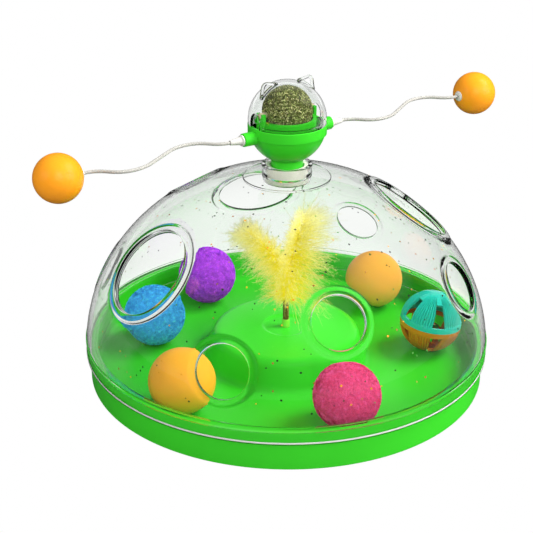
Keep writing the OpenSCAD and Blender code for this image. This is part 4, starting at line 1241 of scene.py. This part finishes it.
class TOY_OT_bell_ball(bpy.types.Operator):
    """Bell ball of two ribbed halves with windows, and the jingle bell in it"""

    bl_idname = "toy.bell_ball"
    bl_label = "Bell ball"

    def execute(self, context):
        s = sizes()
        lean, at = 8, 5
        turn = turned(2, math.radians(at)) @ turned(1, math.radians(lean))
        centre = track_place(at, s.floor_h + 0.3 + s.ball_r)
        for node, sign, look, slot in (("bell_ball_upper", 1, "teal", "teal_plastic"),
                                      ("bell_ball_lower", -1, "brown_amber", "brown_amber_plastic")):
            v, f = bell_half(sign)
            piece(node + "_shell", v @ turn.T + centre, f, look, "bell_ball", slot, (node,), sharp=45)
        paint("jingle_bell", "brass")
        paint("bell_clapper", "steel")
        return {"FINISHED"}


# Stage

WHITE = (1, 1, 1, 1)
# Directions of the lamps and of the pale wall behind the toy
KEY_SIDE = np.array([0.64, 0.08, 0.74])
FILL_SIDE = np.array([0.16, -0.85, 0.5])
LEFT_SIDE = np.array([-0.75, -0.5, 0.43])
RIGHT_SIDE = np.array([0.86, -0.3, 0.42])
WALL_SIDE = np.array([0.0, 0.98, 0.2])
# Light of the room by height of the view, and glows of (side, outer and inner angle in degrees, strength)
MIRRORED = (((0.0, 0.06), (0.5, 0.08), (0.8, 0.16), (1.0, 0.3)),
            ((KEY_SIDE, 22, 5, 1.0), (FILL_SIDE, 22, 5, 0.1)))
BEYOND = (((0.0, 0.5), (0.05, 0.4), (0.12, 0.1), (0.3, 0.04)),
          ((WALL_SIDE, 62, 34, 0.8),))


def aimed(name, data, place, ahead):
    """An object of the stage that looks ahead."""
    obj = bpy.data.objects.new(name, data)
    obj.location = place
    obj.rotation_euler = ahead.to_track_quat("-Z", "Y").to_euler()
    bpy.context.scene.collection.objects.link(obj)
    return obj


def by_ray(tree, path, last, mirrored, through, seen):
    """A shader for light, with others in reflections, through clear pieces and to the camera."""
    for ray, view in (("Is Glossy Ray", mirrored), ("Is Transmission Ray", through), ("Is Camera Ray", seen)):
        last = add(tree, "MixShader", path[ray], last.outputs[0], view.outputs[0])
    return last.outputs[0]


class TOY_OT_stage(bpy.types.Operator):
    """Camera, lamps, white surroundings and floor"""

    bl_idname = "toy.stage"
    bl_label = "Stage"

    def execute(self, context):
        scene, d = context.scene, detail()
        cam = bpy.data.cameras.new("camera")
        cam.sensor_width, cam.lens, cam.clip_start = 36.0, 81.09, 0.01
        pitch, yaw = 0.42839, -0.01806
        ahead = Vector((math.sin(yaw) * math.cos(pitch), math.cos(yaw) * math.cos(pitch), -math.sin(pitch)))
        scene.camera = aimed("camera", cam, (0.0, -0.6878, 0.38195), ahead)
        middle, width = np.array([0.0, 0.0, 0.08]), 0.7
        for name, side, far, power in (("key", KEY_SIDE, 1.5, d.key_power), ("fill", FILL_SIDE, 1.4, d.fill_power),
                                       ("left", LEFT_SIDE, 1.4, d.left_power),
                                       ("right", RIGHT_SIDE, 1.4, d.right_power)):
            light = bpy.data.lights.new(name, "AREA")
            light.shape, light.size, light.size_y, light.energy = "RECTANGLE", width, width, power
            place = middle + far * side
            lamp = aimed(name, light, place, Vector(middle) - Vector(place))
            lamp.visible_glossy = lamp.visible_transmission = False
        self.surroundings(scene, d.sky)
        self.floor(scene)
        scene.view_settings.view_transform = "Standard"
        scene.view_settings.look = "None"
        return {"FINISHED"}

    def surroundings(self, scene, sky):
        """White to the camera; a dim room with a pale ceiling and the glow of two lamps in reflections, and a dark
        room with a pale wall through clear pieces."""
        scene.world = world = bpy.data.worlds.new("room")
        world.use_nodes = True
        tree = world.node_tree
        tree.nodes.clear()
        path = add(tree, "LightPath").outputs
        way = add(tree, "TexCoord").outputs["Generated"]
        height = add(tree, "SeparateXYZ", way).outputs["Z"]
        rooms = []
        for levels, glows in (MIRRORED, BEYOND):
            ramp = add(tree, "ValToRGB", height)
            stops = ramp.color_ramp.elements
            for k, (z, level) in enumerate(levels):
                stop = stops[k] if k < 2 else stops.new(z)
                stop.position = z
                stop.color = (level, level * 1.02, level, 1)
            room = add(tree, "Background", Color=ramp.outputs["Color"])
            for side, outer, inner, strength in glows:
                close = add(tree, "VectorMath", way, side / np.linalg.norm(side), operation="DOT_PRODUCT")
                spot = remap(tree, close.outputs["Value"], interpolation_type="SMOOTHSTEP", To_Max=strength,
                             From_Min=math.cos(math.radians(outer)), From_Max=math.cos(math.radians(inner)))
                glow = add(tree, "Background", Color=WHITE, Strength=spot)
                room = add(tree, "AddShader", room.outputs[0], glow.outputs[0])
            rooms.append(room)
        mirrored, beyond = rooms
        light = add(tree, "Background", Color=WHITE, Strength=sky)
        white = add(tree, "Background", Color=WHITE)
        scattered = calc(tree, "MINIMUM", path["Diffuse Depth"], 1.0)
        through = add(tree, "MixShader", scattered, beyond.outputs[0], light.outputs[0])
        add(tree, "OutputWorld", Surface=by_ray(tree, path, light, mirrored, through, white))

    def floor(self, scene):
        """Wide pale floor that is white to the camera, pale through clear pieces and dim in reflections."""
        half, low = 3000.0, -0.4
        v = np.array([(-half, -half, low), (half, -half, low), (half, half, low), (-half, half, low)])
        mesh = build_mesh("floor", v, [np.array([[0, 1, 2, 3]])])
        mat, tree = new_material("floor")
        coord = add(tree, "TexCoord").outputs["Object"]
        path = add(tree, "LightPath").outputs
        away = add(tree, "VectorMath", coord, operation="LENGTH").outputs["Value"]
        fade = remap(tree, away, From_Min=0.65, From_Max=1.0, To_Min=1.03, To_Max=0.9)
        # The floor before the toy stays dim where a clear wall mirrors it
        across = add(tree, "SeparateXYZ", coord).outputs["Y"]
        before = remap(tree, across, From_Min=0.1, From_Max=-0.1)
        less = calc(tree, "MULTIPLY", before, calc(tree, "MINIMUM", path["Glossy Depth"], 0.92))
        strength = calc(tree, "MULTIPLY", fade, calc(tree, "SUBTRACT", 1.0, less))
        matt = add(tree, "BsdfDiffuse", Color=(0.22, 0.22, 0.22, 1))
        dim = add(tree, "Emission", Strength=0.06)
        pale = add(tree, "Emission", Color=(0.985, 1.0, 0.98, 1), Strength=strength)
        white = add(tree, "Emission")
        add(tree, "OutputMaterial", Surface=by_ray(tree, path, matt, dim, pale, white))
        mesh.materials.append(mat)
        obj = bpy.data.objects.new("floor", mesh)
        scene.collection.objects.link(obj)


class TOY_PT_panel(bpy.types.Panel):
    """Panel with the sizes, the detail and a button for each group"""

    bl_idname = "TOY_PT_panel"
    bl_label = "Windmill Toy"
    bl_space_type = "VIEW_3D"
    bl_region_type = "UI"
    bl_category = "Windmill Toy"

    def draw(self, context):
        layout = self.layout
        for group in (context.scene.toy_sizes, context.scene.toy_detail):
            box = layout.box()
            for name in group.__annotations__:
                box.prop(group, name)
        for cls in OPERATORS:
            layout.operator(cls.bl_idname)


OPERATORS = (
    TOY_OT_stage, TOY_OT_tray, TOY_OT_dome, TOY_OT_windmill, TOY_OT_arms, TOY_OT_catnip, TOY_OT_cover,
    TOY_OT_feather, TOY_OT_plush_balls, TOY_OT_plain_balls, TOY_OT_bell_ball,
)
CLASSES = (ToySizes, ToyDetail) + OPERATORS + (TOY_PT_panel,)


def register():
    for cls in CLASSES:
        bpy.utils.register_class(cls)
    bpy.types.Scene.toy_sizes = PointerProperty(type=ToySizes)
    bpy.types.Scene.toy_detail = PointerProperty(type=ToyDetail)


def unregister():
    del bpy.types.Scene.toy_detail
    del bpy.types.Scene.toy_sizes
    for cls in reversed(CLASSES):
        bpy.utils.unregister_class(cls)


def main():
    register()
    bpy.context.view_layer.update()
    bpy.ops.toy.stage()
    bpy.ops.toy.tray()
    bpy.ops.toy.dome()
    bpy.ops.toy.windmill()
    bpy.ops.toy.arms()
    bpy.ops.toy.catnip()
    bpy.ops.toy.cover()
    bpy.ops.toy.feather()
    bpy.ops.toy.plush_balls()
    bpy.ops.toy.plain_balls()
    bpy.ops.toy.bell_ball()
    bpy.context.view_layer.update()


if __name__ == "__main__":
    main()
